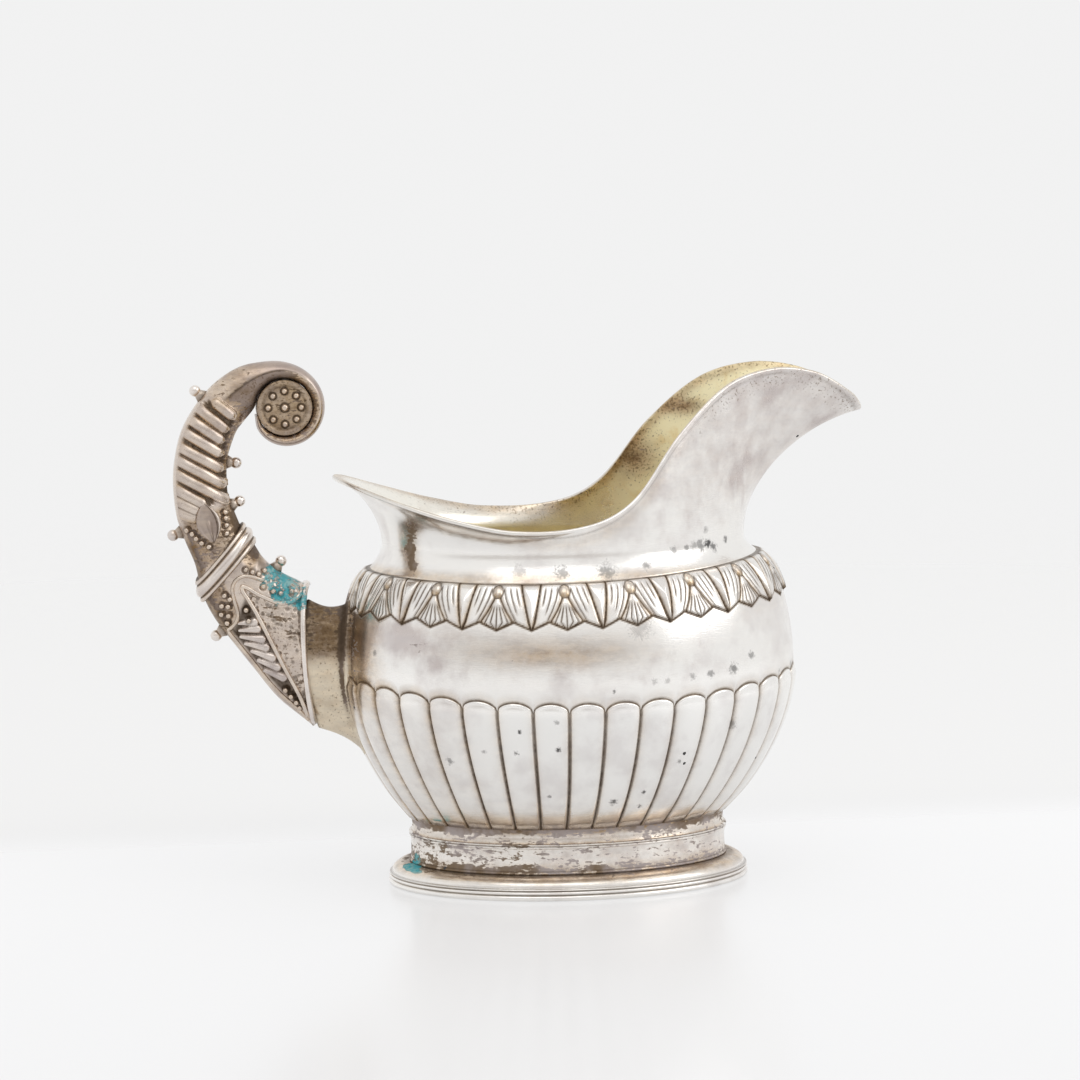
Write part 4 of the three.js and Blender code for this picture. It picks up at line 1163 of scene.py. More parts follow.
@dataclass
class Neck:
    """The flared neck, low at the back and drawn up in front into the spout."""

    bench: Bench
    bowl: Bowl
    inset: float = 0.2
    waist_inset: float = 3.0
    waist_rise: float = 4.4
    wall: float = 1.0
    rise_early: float = 0.4
    rise_late: float = 0.88
    flare_late: float = 0.45
    columns: int = 360
    crowding: float = 0.72
    foot_drop: float = 0.2
    foot_rows: int = 12
    flare_rows: int = 44
    rim_rows: int = 7
    stain_patches: tuple[Patch, Patch] = (Patch(1, 20.5, 94.5, 4.8, 4.4), Patch(1, 31, 106.5, 4.4, 1.9))
    streak_x: float = -36.5
    streak_width: float = 1.4
    streak_span: Span = (71.5, 75, 84, 87.5)
    # Dark spots of the near side: x, z, radius and strength.
    near_marks: tuple[Span, ...] = (
        (21.2, 77.5, 1, 0.5), (24.5, 77.9, 0.7, 0.6), (28, 78.1, 1.5, 0.65), (30, 78.3, 1.2, 0.95),
        (34.7, 78.7, 0.8, 0.75), (14.5, 74.8, 1.1, 0.6), (5.4, 74, 2.1, 0.6), (-4.7, 73.9, 1.7, 0.5),
        (-14, 74.5, 1.6, 0.3), (26.4, 78.2, 1.1, 0.5), (31.2, 77.4, 1.1, 0.8), (29.4, 81.5, 0.7, 0.5),
    )
    # Angle on the waist oval, then how far the rim lies ahead of it, outside it and above it.
    stations: tuple[Span, ...] = (
        (0, 27.7, 0, 27.8),
        (0.1, 24.9, 3.1, 31.4),
        (0.22, 17.4, 3, 36.5),
        (0.36, 8.9, 2.2, 38.1),
        (0.6, 1.5, 0.8, 35),
        (0.93, -1, -0.9, 24.9),
        (1.27, -0.4, -1.2, 10.4),
        (1.57, 0, 0.4, 4.9),
        (1.91, -0.9, 2.7, 4.2),
        (2.22, -2.7, 4.5, 6.8),
        (2.53, -5.8, 5.3, 10.5),
        (2.85, -9.6, 3.5, 14),
        (math.pi, -10.6, 0, 14.9),
    )

    def rim(self, angle: Array) -> Array:
        """The rim's reach ahead, aside and up at angles from 0 to pi.

        Args:
            angle: angles on the waist oval.

        Returns:
            One row of three reaches for each angle.
        """
        keys = np.array(self.stations)
        mirror = np.array([-1, 1, -1, 1])
        first = keys[1] * mirror
        last = keys[-2] * mirror + np.array([2 * math.pi, 0, 0, 0])
        keys = np.vstack([first, keys, last])
        slopes = (keys[2:, 1:] - keys[:-2, 1:]) / (keys[2:, :1] - keys[:-2, :1])
        keys = keys[1:-1]
        index = np.clip(np.searchsorted(keys[:, 0], angle, side="right") - 1, 0, len(keys) - 2)
        span = keys[index + 1, 0] - keys[index, 0]
        u = ((angle - keys[index, 0]) / span)[:, None]
        slopes = slopes[[index, index + 1]] * span[:, None]
        return hermite(u, (keys[index, 1:], keys[index + 1, 1:]), (slopes[0], slopes[1]))

    def angles(self) -> Array:
        """Angles of the columns, closer together round the spout."""
        angle = circle(self.columns)
        return angle - self.crowding * np.sin(angle)

    def outside(self) -> Array:
        """Rings of the neck's outside from the bowl's lip to the rim."""
        angle = self.angles()
        side = np.where(angle > math.pi, -1, 1)
        ahead, aside, rise = self.rim(np.where(side > 0, angle, 2 * math.pi - angle)).T
        lip = self.bowl.lip_half - self.inset
        foot = self.bowl.lip_height(angle) - self.foot_drop
        waist_z = self.bowl.lip_z + self.waist_rise
        rings = []
        for share in np.linspace(0, 1, self.foot_rows, endpoint=False):
            length = lip - self.waist_inset * math.sin(share * math.pi / 2)
            rings.append(self.oval(length, angle, foot + share * (waist_z - foot)))
        waist = self.oval(lip - self.waist_inset, angle, np.full_like(angle, waist_z))
        for u in np.linspace(0, 1, self.flare_rows):
            early = 3 * (1 - u) ** 2 * u
            late = 3 * (1 - u) * u**2
            out = self.flare_late * late + u**3
            up = self.rise_early * early + self.rise_late * late + u**3
            rings.append(waist + np.stack([ahead * out, side * aside * out, rise * up], axis=-1))
        return np.array(rings)

    def oval(self, half_length: float, angle: Array, z: Array) -> Array:
        """Points of an oval ring."""
        half_width = half_length - self.bowl.narrower
        return np.stack([half_length * np.cos(angle), half_width * np.sin(angle), z], axis=-1)

    def skin(self) -> Skin:
        """The closed skin: outside, rounded rim and gilt inside, with its marks."""
        outside = self.outside()
        inward = -normals(outside, True)
        inside = outside + self.wall * inward
        rim = outside[-1]
        across = inside[-1] - rim
        up = outside[-1] - outside[-2]
        up /= np.linalg.norm(up, axis=1, keepdims=True)
        turns = np.linspace(0, math.pi, self.rim_rows)[1:-1]
        lip = np.array([
            rim + across * (1 - math.cos(turn)) / 2 + up * self.wall / 2 * math.sin(turn) for turn in turns
        ])
        skin = np.concatenate([outside, lip, inside[::-1], outside[:1]])
        inner = np.concatenate([
            np.zeros(len(outside)), np.linspace(0, 0.6, len(lip)), np.ones(len(inside)), np.zeros(1),
        ])[:, None] * np.ones(skin.shape[1])
        below_rim = np.linalg.norm(skin - rim, axis=2)
        stains = self.stains(skin)
        marks = {
            Mark.GILT: inner * (0.2 + 0.8 * ease(skin[:, :, 0], 6, 24)),
            Mark.HAZE: self.haze(skin, inner),
            Mark.GROOVE: 0.3 * np.where(inner > 0.5, stains, ridge(below_rim - 1.0, 0.25)),
            Mark.BROWN: np.clip(self.brown(skin, inner, below_rim), 0, 1),
            Mark.CRUST: np.where(inner > 0.5, 0.35 * stains, 0.75 * self.streak(skin)),
            Mark.SPECK: np.clip(self.specks(skin, inner, below_rim), 0, 1),
        }
        return skin, marks

    def brown(self, skin: Array, inner: Array, below_rim: Array) -> Array:
        """Brown along the neck's foot, a band under the rim that is partly tarnish and partly painted shade,
        a warm veil on the spout, and stains inside.

        Args:
            skin: points of the neck's skin.
            inner: 1 on the inside.
            below_rim: each point's distance from the rim.

        Returns:
            How brown each point is.
        """
        x, _, z = axes(skin)
        foot = 0.45 * ease(z, self.bowl.lip_z + 1.0, self.bowl.lip_z - 1.2)
        # A brown band just under the rim: partly tarnish, partly painted shade under the lip.
        rim = 0.22 * ridge(below_rim - 2.4, 1.8) * ease(x, 35, 5)
        veil = 0.07 * ease(x, 10, 34) * ease(z, 80, 93)
        outside = 0.05 + foot + veil + rim + 0.6 * self.streak(skin)
        inside = 0.02 + self.stains(skin) + 0.55 * ridge(below_rim - 1.2, 1.5)
        return np.where(inner > 0.5, inside, outside)

    def haze(self, skin: Array, inner: Array) -> Array:
        """A grey veil over the outside of the spout."""
        x, _, z = axes(skin)
        return np.where(inner > 0.5, 0.0, 0.4 * ease(x, 6, 32) * ease(z, 78, 92) + 0.08)

    def streak(self, skin: Array) -> Array:
        """A run of tarnish down the near side of the neck, towards the handle."""
        x, y, z = axes(skin)
        return ridge(x - self.streak_x, self.streak_width) * band(z, self.streak_span) * (y < 0)

    def stains(self, skin: Array) -> Array:
        """Two dark stains on the far wall inside the spout."""
        low, high = (patch.on(skin) for patch in self.stain_patches)
        return np.maximum(low, high) * (skin[:, :, 1] > 0)

    def specks(self, skin: Array, inner: Array, below_rim: Array) -> Array:
        """Fine specks under the spout's rim, round the rim inside and in the stains."""
        outside = 0.24 * ridge(below_rim - 2.5, 3) * ease(skin[:, :, 0], 22, 38)
        inside = 0.05 + 0.5 * self.stains(skin) + 0.3 * ridge(below_rim, 2.5)
        return np.where(inner > 0.5, inside, outside)

    def spots(self) -> tuple[Spot, ...]:
        """The dark spots of the neck's near side."""
        return near_spots(self.outside(), self.near_marks)

    def build(self, metal: bpy.types.Material) -> None:
        """Makes and dresses the neck."""
        self.bench.lay("neck_and_spout", self.skin(), metal, Slot.POLISHED, "neck_spout")


@dataclass
class HornHandle:
    """The horn-shaped scroll handle, its socket and all its trim.

    A place on the horn is a section number, from 0 at the mouth, and a place across that section, from -1
    on its inner edge to 1 on its outer edge.
    """

    bench: Bench
    bowl: Bowl
    fullness: float = 0.8
    mouth_scoop: float = 2.4
    scroll_x: float = -11.9
    scroll_z: float = 60.6
    scroll_start: float = 118.0
    scroll_end: float = -166.0
    scroll_bore: float = 6.3
    scroll_thick: float = 5.3
    scroll_thin: float = 0.5
    scroll_lead: float = 32.0
    scroll_narrowing: float = 1.4
    scroll_sections: int = 12
    half_columns: int = 144
    half_rows: int = 470
    scroll_rows: int = 170
    seam_rows: int = 5
    seam_fade: float = 0.3
    # Outer edge (x, z), inner edge (x, z) and half thickness, from the back of the belly.
    sections: tuple[tuple[float, float, float, float, float], ...] = (
        (-6.6, -12.3, -8.2, 20.3, 7.5),
        (-10.5, -9.3, -9.8, 21.2, 7.4),
        (-15.4, -4.8, -12.9, 22.8, 7.1),
        (-20.5, 1.9, -15.5, 24.7, 6.8),
        (-24.7, 7.5, -17.7, 26.9, 6.5),
        (-28.7, 13.1, -19.2, 29.4, 6.2),
        (-31.4, 18.9, -20.7, 31.8, 5.9),
        (-32.8, 25.4, -22.2, 33.7, 5.7),
        (-35, 31, -23.6, 37.1, 5.6),
        (-36.7, 36.5, -24.9, 40.5, 5.6),
        (-37.3, 43.5, -25.2, 44.7, 5.5),
        (-36.8, 49.5, -25, 48.9, 5.4),
        (-35.1, 55.8, -24, 52.5, 5.3),
        (-31.9, 61.3, -22.6, 55.7, 5.2),
        (-27.5, 66.3, -20.8, 57.9, 5),
        (-22.2, 69.7, -18.6, 60.6, 4.9),
    )
    # Ribs of the horn: section and place across of the outer end, then of the inner end.
    ribs: tuple[Span, ...] = (
        (13.55, 0.4, 13.6, -0.36),
        (13.0, 0.8, 12.76, -0.42),
        (12.5, 0.82, 12.15, -0.46),
        (12.0, 0.88, 11.47, -0.57),
        (11.45, 0.88, 10.69, -0.68),
        (10.98, 0.88, 9.87, -0.8),
        (10.43, 0.88, 9.03, -0.86),
        (9.88, 0.9, 9.26, 0.05),
        (9.52, 0.92, 9.06, 0.32),
        (9.2, 0.94, 8.78, 0.45),
    )
    rib_radius: float = 1.36
    rib_height: float = 1.1
    rib_floor: float = 0.5
    # Inner limit of the ribs, as a place across at section numbers.
    rib_limit: Path2 = ((8.7, -0.9), (10, -0.82), (13.7, -0.5))
    # Section numbers between which the ribs, the pearled ground, the knee, the roll and the shade lie.
    rib_span: Span = (8.7, 9.2, 13.5, 14)
    pearl_span: Span = (6.5, 6.8, 8.5, 8.9)
    knee_span: Span = (4.2, 4.6, 5.6, 5.9)
    roll_span: Span = (13.6, 14.2, 16.5, 19)
    shade_span: Span = (3.4, 4.6, 7.4, 8.6)
    crease_depth: float = 0.55
    border_height: float = 0.15
    bed_depth: float = 0.35
    ground_depth: float = 0.2
    ground_ring: float = 0.3
    # Pods beside the panel: section and place across of the tail, then of the thick end.
    pods: tuple[Span, ...] = (
        (4.09, 0.54, 3.43, 0.22),
        (3.96, 0.64, 3.2, 0.28),
        (3.82, 0.72, 2.89, 0.36),
        (3.54, 0.74, 2.66, 0.42),
        (3.2, 0.74, 2.33, 0.46),
        (2.86, 0.76, 2.09, 0.53),
        (2.55, 0.79, 1.77, 0.6),
    )
    pod_radii: tuple[float, float] = (0.5, 1.08)
    pod_height: float = 1.0
    # Edges of the pitted panel, as places across at section numbers.
    panel_upper: Path2 = (
        (0.24, -1), (0.71, -0.88), (1.44, -0.67), (2.15, -0.52), (2.86, -0.41), (3.61, -0.3), (4.6, -0.1),
    )
    panel_lower: Path2 = ((0.19, 0.88), (0.68, 0.76), (1.34, 0.55), (2.24, 0.28), (3.29, 0.06), (4.6, -0.05))
    pit_count: int = 90
    pit_depth: float = 0.25
    pit_radii: tuple[float, float] = (0.35, 0.65)
    panel_wire: Path2 = (
        (0.3, -0.93), (0.71, -0.86), (1.44, -0.67), (2.15, -0.52), (2.86, -0.41), (3.61, -0.3), (4.3, -0.2),
        (4.65, -0.1), (4.5, -0.04), (4, -0.02), (3.29, 0.06), (2.24, 0.28), (1.34, 0.55), (0.68, 0.76),
        (0.3, 0.86),
    )
    loop_wire: Path2 = (
        (3.46, -0.63), (4.18, -0.5), (4.8, -0.31), (5.13, -0.06), (5.09, 0.14), (4.72, 0.28), (4.33, 0.4),
        (4.24, 0.56), (4.33, 0.77), (4.35, 0.88), (3.85, 0.88), (3.1, 0.88), (2.46, 0.88), (1.7, 0.88),
        (0.93, 0.9), (0.3, 0.93),
    )
    wire_radius: float = 0.52
    loop_wire_radius: float = 0.42
    wire_sink: float = 0.45
    wire_steps: int = 16
    wire_sides: int = 12
    pearls: Path2 = (
        (8.39, 0.79), (8.16, 0.66), (7.91, 0.59), (7.64, 0.48), (7.34, 0.31),
        (8.38, -0.67), (8.06, -0.6), (7.72, -0.53), (7.36, -0.43),
        (4.92, -0.42), (4.43, -0.54), (3.94, -0.64), (3.58, -0.8),
        (3.41, -0.52), (2.71, -0.6), (2.2, -0.67), (1.5, -0.8),
        (5.23, 0.43), (4.92, 0.36), (4.83, 0.51), (5.08, 0.64), (4.63, 0.64), (4.9, 0.77), (4.54, 0.78),
        (4.01, 0.19), (3.72, 0.31), (1.64, 0.76), (1.38, 0.79), (1.12, 0.82), (0.93, 0.86),
    )
    pearl_radius: float = 0.62
    pearl_lift: float = 0.15
    strap_section: float = 6.15
    strap_half_width: float = 2.5
    strap_height: float = 1.2
    # Ribs of the strap: middle and half width as shares of its half width, and height as a share of its own.
    strap_ribs: tuple[tuple[float, float, float], ...] = (
        (-0.79, 0.22, 0.75), (0.0, 0.56, 1.0), (0.79, 0.22, 0.75),
    )
    strap_floor: float = 0.42
    strap_underside: float = -0.4
    strap_columns: int = 144
    strap_rows: int = 41
    leaf_section: float = 8.3
    leaf_half_length: float = 4.7
    leaf_half_width: float = 2.7
    leaf_height: float = 1.3
    leaf_body: float = 0.55
    leaf_swell: float = 0.12
    # Ridges along the leaf's edges: place across, width, and height as a share of the leaf's own.
    leaf_ridges: tuple[tuple[float, float, float], ...] = ((0.86, 0.12, 0.45), (-0.88, 0.13, 0.12))
    leaf_midrib: tuple[float, float] = (0.1, 0.25)
    leaf_tip: float = 0.01
    leaf_turn: float = -14.0
    leaf_back: float = -0.6
    leaf_rows: int = 41
    leaf_columns: int = 49
    leaf_back_columns: int = 7
    mouth_wire_radius: float = 0.7
    mouth_wire_start: float = 24.0
    mouth_wire_rows: int = 150
    mouth_wire_sides: int = 14
    clearance: float = 0.3
    rosette_radius: float = 6.0
    rosette_depth: float = 3.0
    rosette_rim: float = 0.55
    rosette_rim_width: float = 0.35
    rosette_rim_height: float = 0.14
    rosette_trench: float = 0.85
    rosette_trench_width: float = 0.3
    rosette_trench_depth: float = 0.15
    rosette_dimple_width: float = 0.25
    rosette_dimple_depth: float = 0.25
    rosette_sink: float = 0.1
    rosette_pearl: float = 0.72
    rosette_ring: float = 3.75
    rosette_count: int = 8
    rosette_edge: float = 0.25
    rosette_middle: float = 1.2
    rosette_squash: float = 0.9
    rosette_columns: int = 168
    rosette_rows: int = 52
    # Beads on the seam: the CAD node, its section, and 1 on the outer edge or -1 on the inner.
    beads: tuple[tuple[str, float, int], ...] = (
        ("bead_back_top", 13.4, 1),
        ("bead_back_middle", 8.35, 1),
        ("bead_back_low", 4.5, 1),
        ("bead_front_top", 10.9, -1),
        ("bead_front_middle", 8.5, -1),
        ("bead_front_low", 2.65, -1),
    )
    bead_radius: float = 1.3
    bead_stem_radius: float = 0.75
    bead_stem_length: float = 0.7
    bead_stem_flare: float = 1.9
    bead_stem_overlap: float = 0.3
    bead_stem_sink: float = 0.9
    bead_segments: int = 32
    bead_rings: int = 20
    socket_low: float = -19.0
    socket_high: float = 15.5
    socket_half_width: float = 7.0
    socket_waist: float = 0.07
    socket_ridge: float = 0.045
    socket_lip: float = 0.97
    socket_inset: float = 1.5
    socket_start: float = 1.0
    socket_end: float = 2.0
    socket_drop: float = 2.2
    socket_gap: float = 0.2
    socket_notch: float = 0.6
    socket_notch_power: int = 40
    # Heights over which the darker upper half sets in, partly tarnish and partly painted shade, and over
    # which the dark seam does.
    socket_tarnish_and_shade: tuple[float, float] = (51, 56)
    socket_seam: tuple[float, float] = (36, 46)
    socket_columns: int = 128
    socket_rows: int = 30
    # Lower limit of the green bloom beside the horn's mouth: x and z.
    bloom_limit: Path2 = ((-70, 69.3), (-66, 65.3), (-62.7, 65.6), (-60.5, 62.7), (-58.6, 62.5))
    bloom_span: Span = (-77, -64, -58.6, -57)
    bloom_top: float = 76.0
    bloom_strength: float = 0.52

    def __post_init__(self) -> None:
        """Joins the listed sections and the turns of the scroll into one table."""
        listed = np.array(self.sections)
        u = np.linspace(0, 1, self.scroll_sections)
        turn = np.radians(self.scroll_start + (self.scroll_end - self.scroll_start) * u)
        lead = turn + np.radians(self.scroll_lead * (1 - u) ** 4)
        body = (self.scroll_thick - self.scroll_thin) / 2
        outer = self.scroll_bore + self.scroll_thin + body * (1 - u**6) + body * (1 - u) ** 8
        rolled = np.stack([
            self.scroll_x + outer * np.cos(turn),
            self.scroll_z + outer * np.sin(turn),
            self.scroll_x + self.scroll_bore * np.cos(lead),
            self.scroll_z + self.scroll_bore * np.sin(lead),
            listed[-1, 4] - self.scroll_narrowing * u,
        ], axis=1)
        self.table = np.vstack([listed, rolled])
        self.origin = np.array([self.bowl.belly_lean - self.bowl.belly_half, 0, self.bowl.belly_z])

    def surface(self, number: Array, turn: Array, grow: Values = 0.0) -> Array:
        """Points on the horn's skin.

        Args:
            number: section numbers.
            turn: angle round the section, 0 on the outer edge, pi on the inner, by way of +Y.
            grow: how far the point lies outside the skin.

        Returns:
            Points in the jug's frame, one row each.
        """
        outer_x, outer_z, inner_x, inner_z, deep = spline(self.table, number).T
        across_x = (outer_x - inner_x) / 2
        across_z = (outer_z - inner_z) / 2
        half = np.hypot(across_x, across_z)
        reach = (half + grow) / half * np.cos(turn)
        swell = np.sign(np.sin(turn)) * np.abs(np.sin(turn)) ** self.fullness
        scoop = -self.mouth_scoop * np.abs(np.sin(turn)) * np.clip(1 - number, 0, 1) ** 2
        x = (outer_x + inner_x) / 2 + across_x * reach + scoop
        z = (outer_z + inner_z) / 2 + across_z * reach
        return np.stack([x, (deep + grow) * swell, z], axis=-1) + self.origin

    def on_side(self, path: Path2, side: Side, grow: float) -> Array:
        """Points of a path on one side of the horn, lifted off its skin."""
        number, across = np.array(path).T
        points = self.surface(number, np.arccos(across), grow)
        points[:, 1] *= side.value
        return points

    def section_pitch(self, number: Array, turn: Array) -> Array:
        """Length along the skin, in millimetres, of one section number."""
        step = 0.25
        gap = self.surface(number + step, turn) - self.surface(number - step, turn)
        return np.linalg.norm(gap, axis=1) / (2 * step)

    def bloom(self, points: Array) -> Array:
        """Green corrosion on the near side, between the panel's upper wire and the horn's mouth."""
        x, y, z = axes(points)
        limit = np.interp(x, *np.array(self.bloom_limit).T)
        rise = ease(z - limit, -1.2, 1.2) * ease(z, self.bloom_top, self.bloom_top - 3)
        return self.bloom_strength * band(x, self.bloom_span) * rise * (y < 1.0)

    def trim_marks(self, points: Array, green: float, brown: float) -> Marks:
        """Marks of trim: a share of the green bloom, and even brown."""
        return {Mark.VERDIGRIS: green * self.bloom(points), Mark.BROWN: np.full(points.shape[:-1], brown)}

    def half_skin(self) -> Skin:
        """Rings of the horn's half on the +Y side, with its relief, and their marks."""
        last = len(self.table) - 1
        bend = len(self.sections) - 1
        number = np.concatenate([
            np.linspace(0, bend, self.half_rows), np.linspace(bend, last, self.scroll_rows)[1:],
        ])
        turn = np.linspace(0, math.pi, self.half_columns)
        grid_number, grid_turn = np.meshgrid(number, turn, indexing="ij")
        skin = self.surface(grid_number.ravel(), grid_turn.ravel()).reshape(len(number), len(turn), 3)
        normal = normals(skin, False)
        normal *= np.where(normal[:, :, 1:2].mean() < 0, -1, 1)
        relief, marks = self.relief(skin, grid_number, np.cos(grid_turn))
        fade = ease(np.sin(grid_turn), 0.0, self.seam_fade)
        skin = skin + (relief * fade)[:, :, None] * normal
        flat = np.linspace(1, 0, self.seam_rows)[1:-1][None, :, None]
        seam = skin[:, :1] * (1 - flat) + skin[:, -1:] * flat
        rings = np.concatenate([skin, seam], axis=1)
        rings = capped(rings, rings[0].mean(axis=0), rings[-1].mean(axis=0))
        return rings, {key: self.padded(values, rings.shape[:2]) for key, values in marks.items()}

    @staticmethod
    def padded(values: Array, shape: tuple[int, int]) -> Array:
        """Spreads marks of the relief over the seam's and the ends' extra points."""
        full = np.zeros(shape)
        full[1:-1, : values.shape[1]] = values
        return full

    def relief(self, skin: Array, number: Array, across: Array) -> tuple[Array, Marks]:
        """The stamped ornament on the horn's side.

        Args:
            skin: plain points of the horn's half.
            number: section number of each point.
            across: place across the section of each point.

        Returns:
            Height of the relief in millimetres, and marks.
        """
        plane = skin[:, :, [0, 2]]
        limit = np.interp(number, *np.array(self.rib_limit).T)
        along_ribs = band(number, self.rib_span)
        near_rib, next_rib = self.capsules(plane, self.ribs, (self.rib_radius, self.rib_radius))
        near_pod, next_pod = self.capsules(plane, self.pods, self.pod_radii)
        ribs, pods = dome(near_rib, 1), dome(near_pod, 1)
        ribbed = ease(near_rib, 1.75, 1.45) * ease(across, 0.92, 0.84)
        packed = ease(next_rib, 2.4, 1.8)
        sunk = ribbed * np.maximum(packed, ease(near_rib, 1.0, 0.6))
        upper = np.interp(number, *np.array(self.panel_upper).T)
        lower = np.interp(number, *np.array(self.panel_lower).T)
        panel = ease(across - upper, 0.0, 0.06) * ease(across - lower, 0.0, -0.06) * ease(number, 4.6, 4.4)
        bed = ease(across - lower, 0.0, 0.08) * ease(across, 0.86, 0.8) * ease(number, 4.4, 4.1) * (1 - panel)
        pits = self.pits(plane, panel)
        pearled = band(number, self.pearl_span)
        knee = band(number, self.knee_span) * ease(np.abs(across + 0.1), 0.3, 0.5)
        ground = np.clip((pearled + knee) * ease(across, 0.9, 0.84), 0, 1)
        border = ease(across, 0.84, 0.9) * ease(number, 14.5, 13.5)
        inner_border = along_ribs * ease(across - limit, 0.0, -0.1)
        rolling = band(number, self.roll_span)
        crease = rolling * ease(across, 0.34, 0.16)
        fold = rolling * ridge(across - 0.25, 0.06)
        scroll = ease(number, 13.8, 15.5)
        bend = ridge(number - 14.6, 1.3) * ease(across, -0.2, 0.2)
        shade = band(number, self.shade_span) * ease(np.abs(across), 0.62, 0.92)
        ring = self.pearl_rings(plane)
        height = ribbed * ribs * self.rib_height - self.rib_floor * sunk + self.border_height * border
        height = height + np.maximum(pods * self.pod_height - self.bed_depth * bed, -self.bed_depth)
        height = height - self.ground_depth * (panel + ground + ring)
        height = height - self.pit_depth * pits - self.crease_depth * crease
        between = np.maximum(ease(ribs, 0.4, 0.05), self.meeting(near_rib, next_rib))
        between = between * ribbed * packed
        gaps = bed * np.maximum(ease(pods, 0.4, 0.05), self.meeting(near_pod, next_pod))
        face = scroll * ease(across, 0.3, -0.2)
        brown = 0.25 + 0.05 * panel + 0.5 * inner_border + 0.45 * ground + 0.4 * crease + 0.4 * shade
        brown = brown + 0.4 * sunk * ease(ribs, 0.95, 0.5) + 0.5 * face + 0.3 * bend - 0.28 * bed * pods
        crust = 0.14 + 0.26 * panel + 0.36 * inner_border + 0.38 * ground + 0.4 * crease + 0.34 * face
        crust = (crust + 0.2 * between) * (1 - bed * pods) + 0.25 * shade + 0.24 * bend
        speck = 0.05 + 0.14 * panel + 0.2 * inner_border + 0.25 * ground + 0.15 * crease + 0.15 * face
        dark = 0.85 * between + 0.85 * gaps + 0.6 * pits + 0.6 * ring + 0.55 * fold + 0.4 * shade
        marks = {
            Mark.GROOVE: np.clip(dark, 0, 1),
            Mark.HAZE: 0.15 + 0.65 * scroll * ease(across, 0.1, 0.4) + 0.22 * ribbed,
            Mark.SPECK: np.clip(speck, 0, 1),
            Mark.BROWN: np.clip(brown, 0, 1),
            Mark.CRUST: np.clip(crust, 0, 1),
        }
        return height, marks

    def pearl_rings(self, plane: Array) -> Array:
        """Sunk rings round the pearls on the horn's side."""
        deepest = np.zeros(plane.shape[:2])
        for centre in self.on_side(self.pearls, Side.LEFT, 0)[:, [0, 2]]:
            away = np.linalg.norm(plane - centre, axis=2)
            deepest = np.maximum(deepest, ridge(away - self.pearl_radius, self.ground_ring))
        return deepest

    @staticmethod
    def meeting(nearest: Array, second: Array) -> Array:
        """1 along the crease where two neighbouring bars touch."""
        return ridge(second - nearest, 0.16) * ease(second, 1.3, 1.05)

    def capsules(self, plane: Array, bars: Sequence[Span], radii: tuple[float, float]) -> tuple[Array, Array]:
        """Round bars seen from the side.

        Args:
            plane: x and z of the points.
            bars: section and place across of both ends of each bar.
            radii: radius at the first end and at the second.

        Returns:
            Distance from the nearest bar's middle line and from the second nearest, in radii.
        """
        reaches = []
        for bar in bars:
            a, b = self.on_side((bar[:2], bar[2:]), Side.LEFT, 0)[:, [0, 2]]
            along = b - a
            share = np.clip(((plane - a) @ along) / (along @ along), 0, 1)
            away = np.linalg.norm(plane - a - share[:, :, None] * along, axis=2)
            reaches.append(away / (radii[0] + (radii[1] - radii[0]) * share))
        nearest, second = np.sort(np.array(reaches), axis=0)[:2]
        return nearest, second

    def pits(self, plane: Array, panel: Array) -> Array:
        """Punched pits scattered over the panel."""
        scatter = np.random.default_rng(SEED)
        inside = plane[panel > 0.9]
        deepest = np.zeros(plane.shape[:2])
        for centre in inside[scatter.choice(len(inside), self.pit_count, replace=False)]:
            away = np.linalg.norm(plane - centre, axis=2)
            deepest = np.maximum(deepest, dome(away, scatter.uniform(*self.pit_radii)))
        return deepest * panel

    def strap(self) -> Skin:
        """Rings of the three-ribbed strap that wraps the horn slantwise."""
        turn = circle(self.strap_columns)
        along = np.linspace(-1, 1, self.strap_rows)
        height = np.zeros_like(along)
        for middle, half, tall in self.strap_ribs:
            height = np.maximum(height, tall * dome(along - middle, half))
        height = np.maximum(height, self.strap_floor)
        under = [(place, self.strap_underside) for place in (-1.0, 1.0)]
        outline = [under[0], *zip(along, height), under[1], under[0]]
        rings = []
        middle = np.full_like(turn, self.strap_section)
        span = self.strap_half_width / self.section_pitch(middle, turn)
        for place, tall in outline:
            rings.append(self.surface(middle + span * place, turn, self.clearance + self.strap_height * tall))
        tall = np.array([tall for _, tall in outline])[:, None] * np.ones(len(turn))
        marks = {
            Mark.GROOVE: 0.85 * ease(tall, self.strap_floor + 0.12, self.strap_floor),
            Mark.BROWN: 0.08 + 0.5 * ease(tall, 0.9, self.strap_floor),
            Mark.CRUST: 0.1 + 0.2 * ease(tall, 0.9, self.strap_floor),
        }
        return np.array(rings), marks

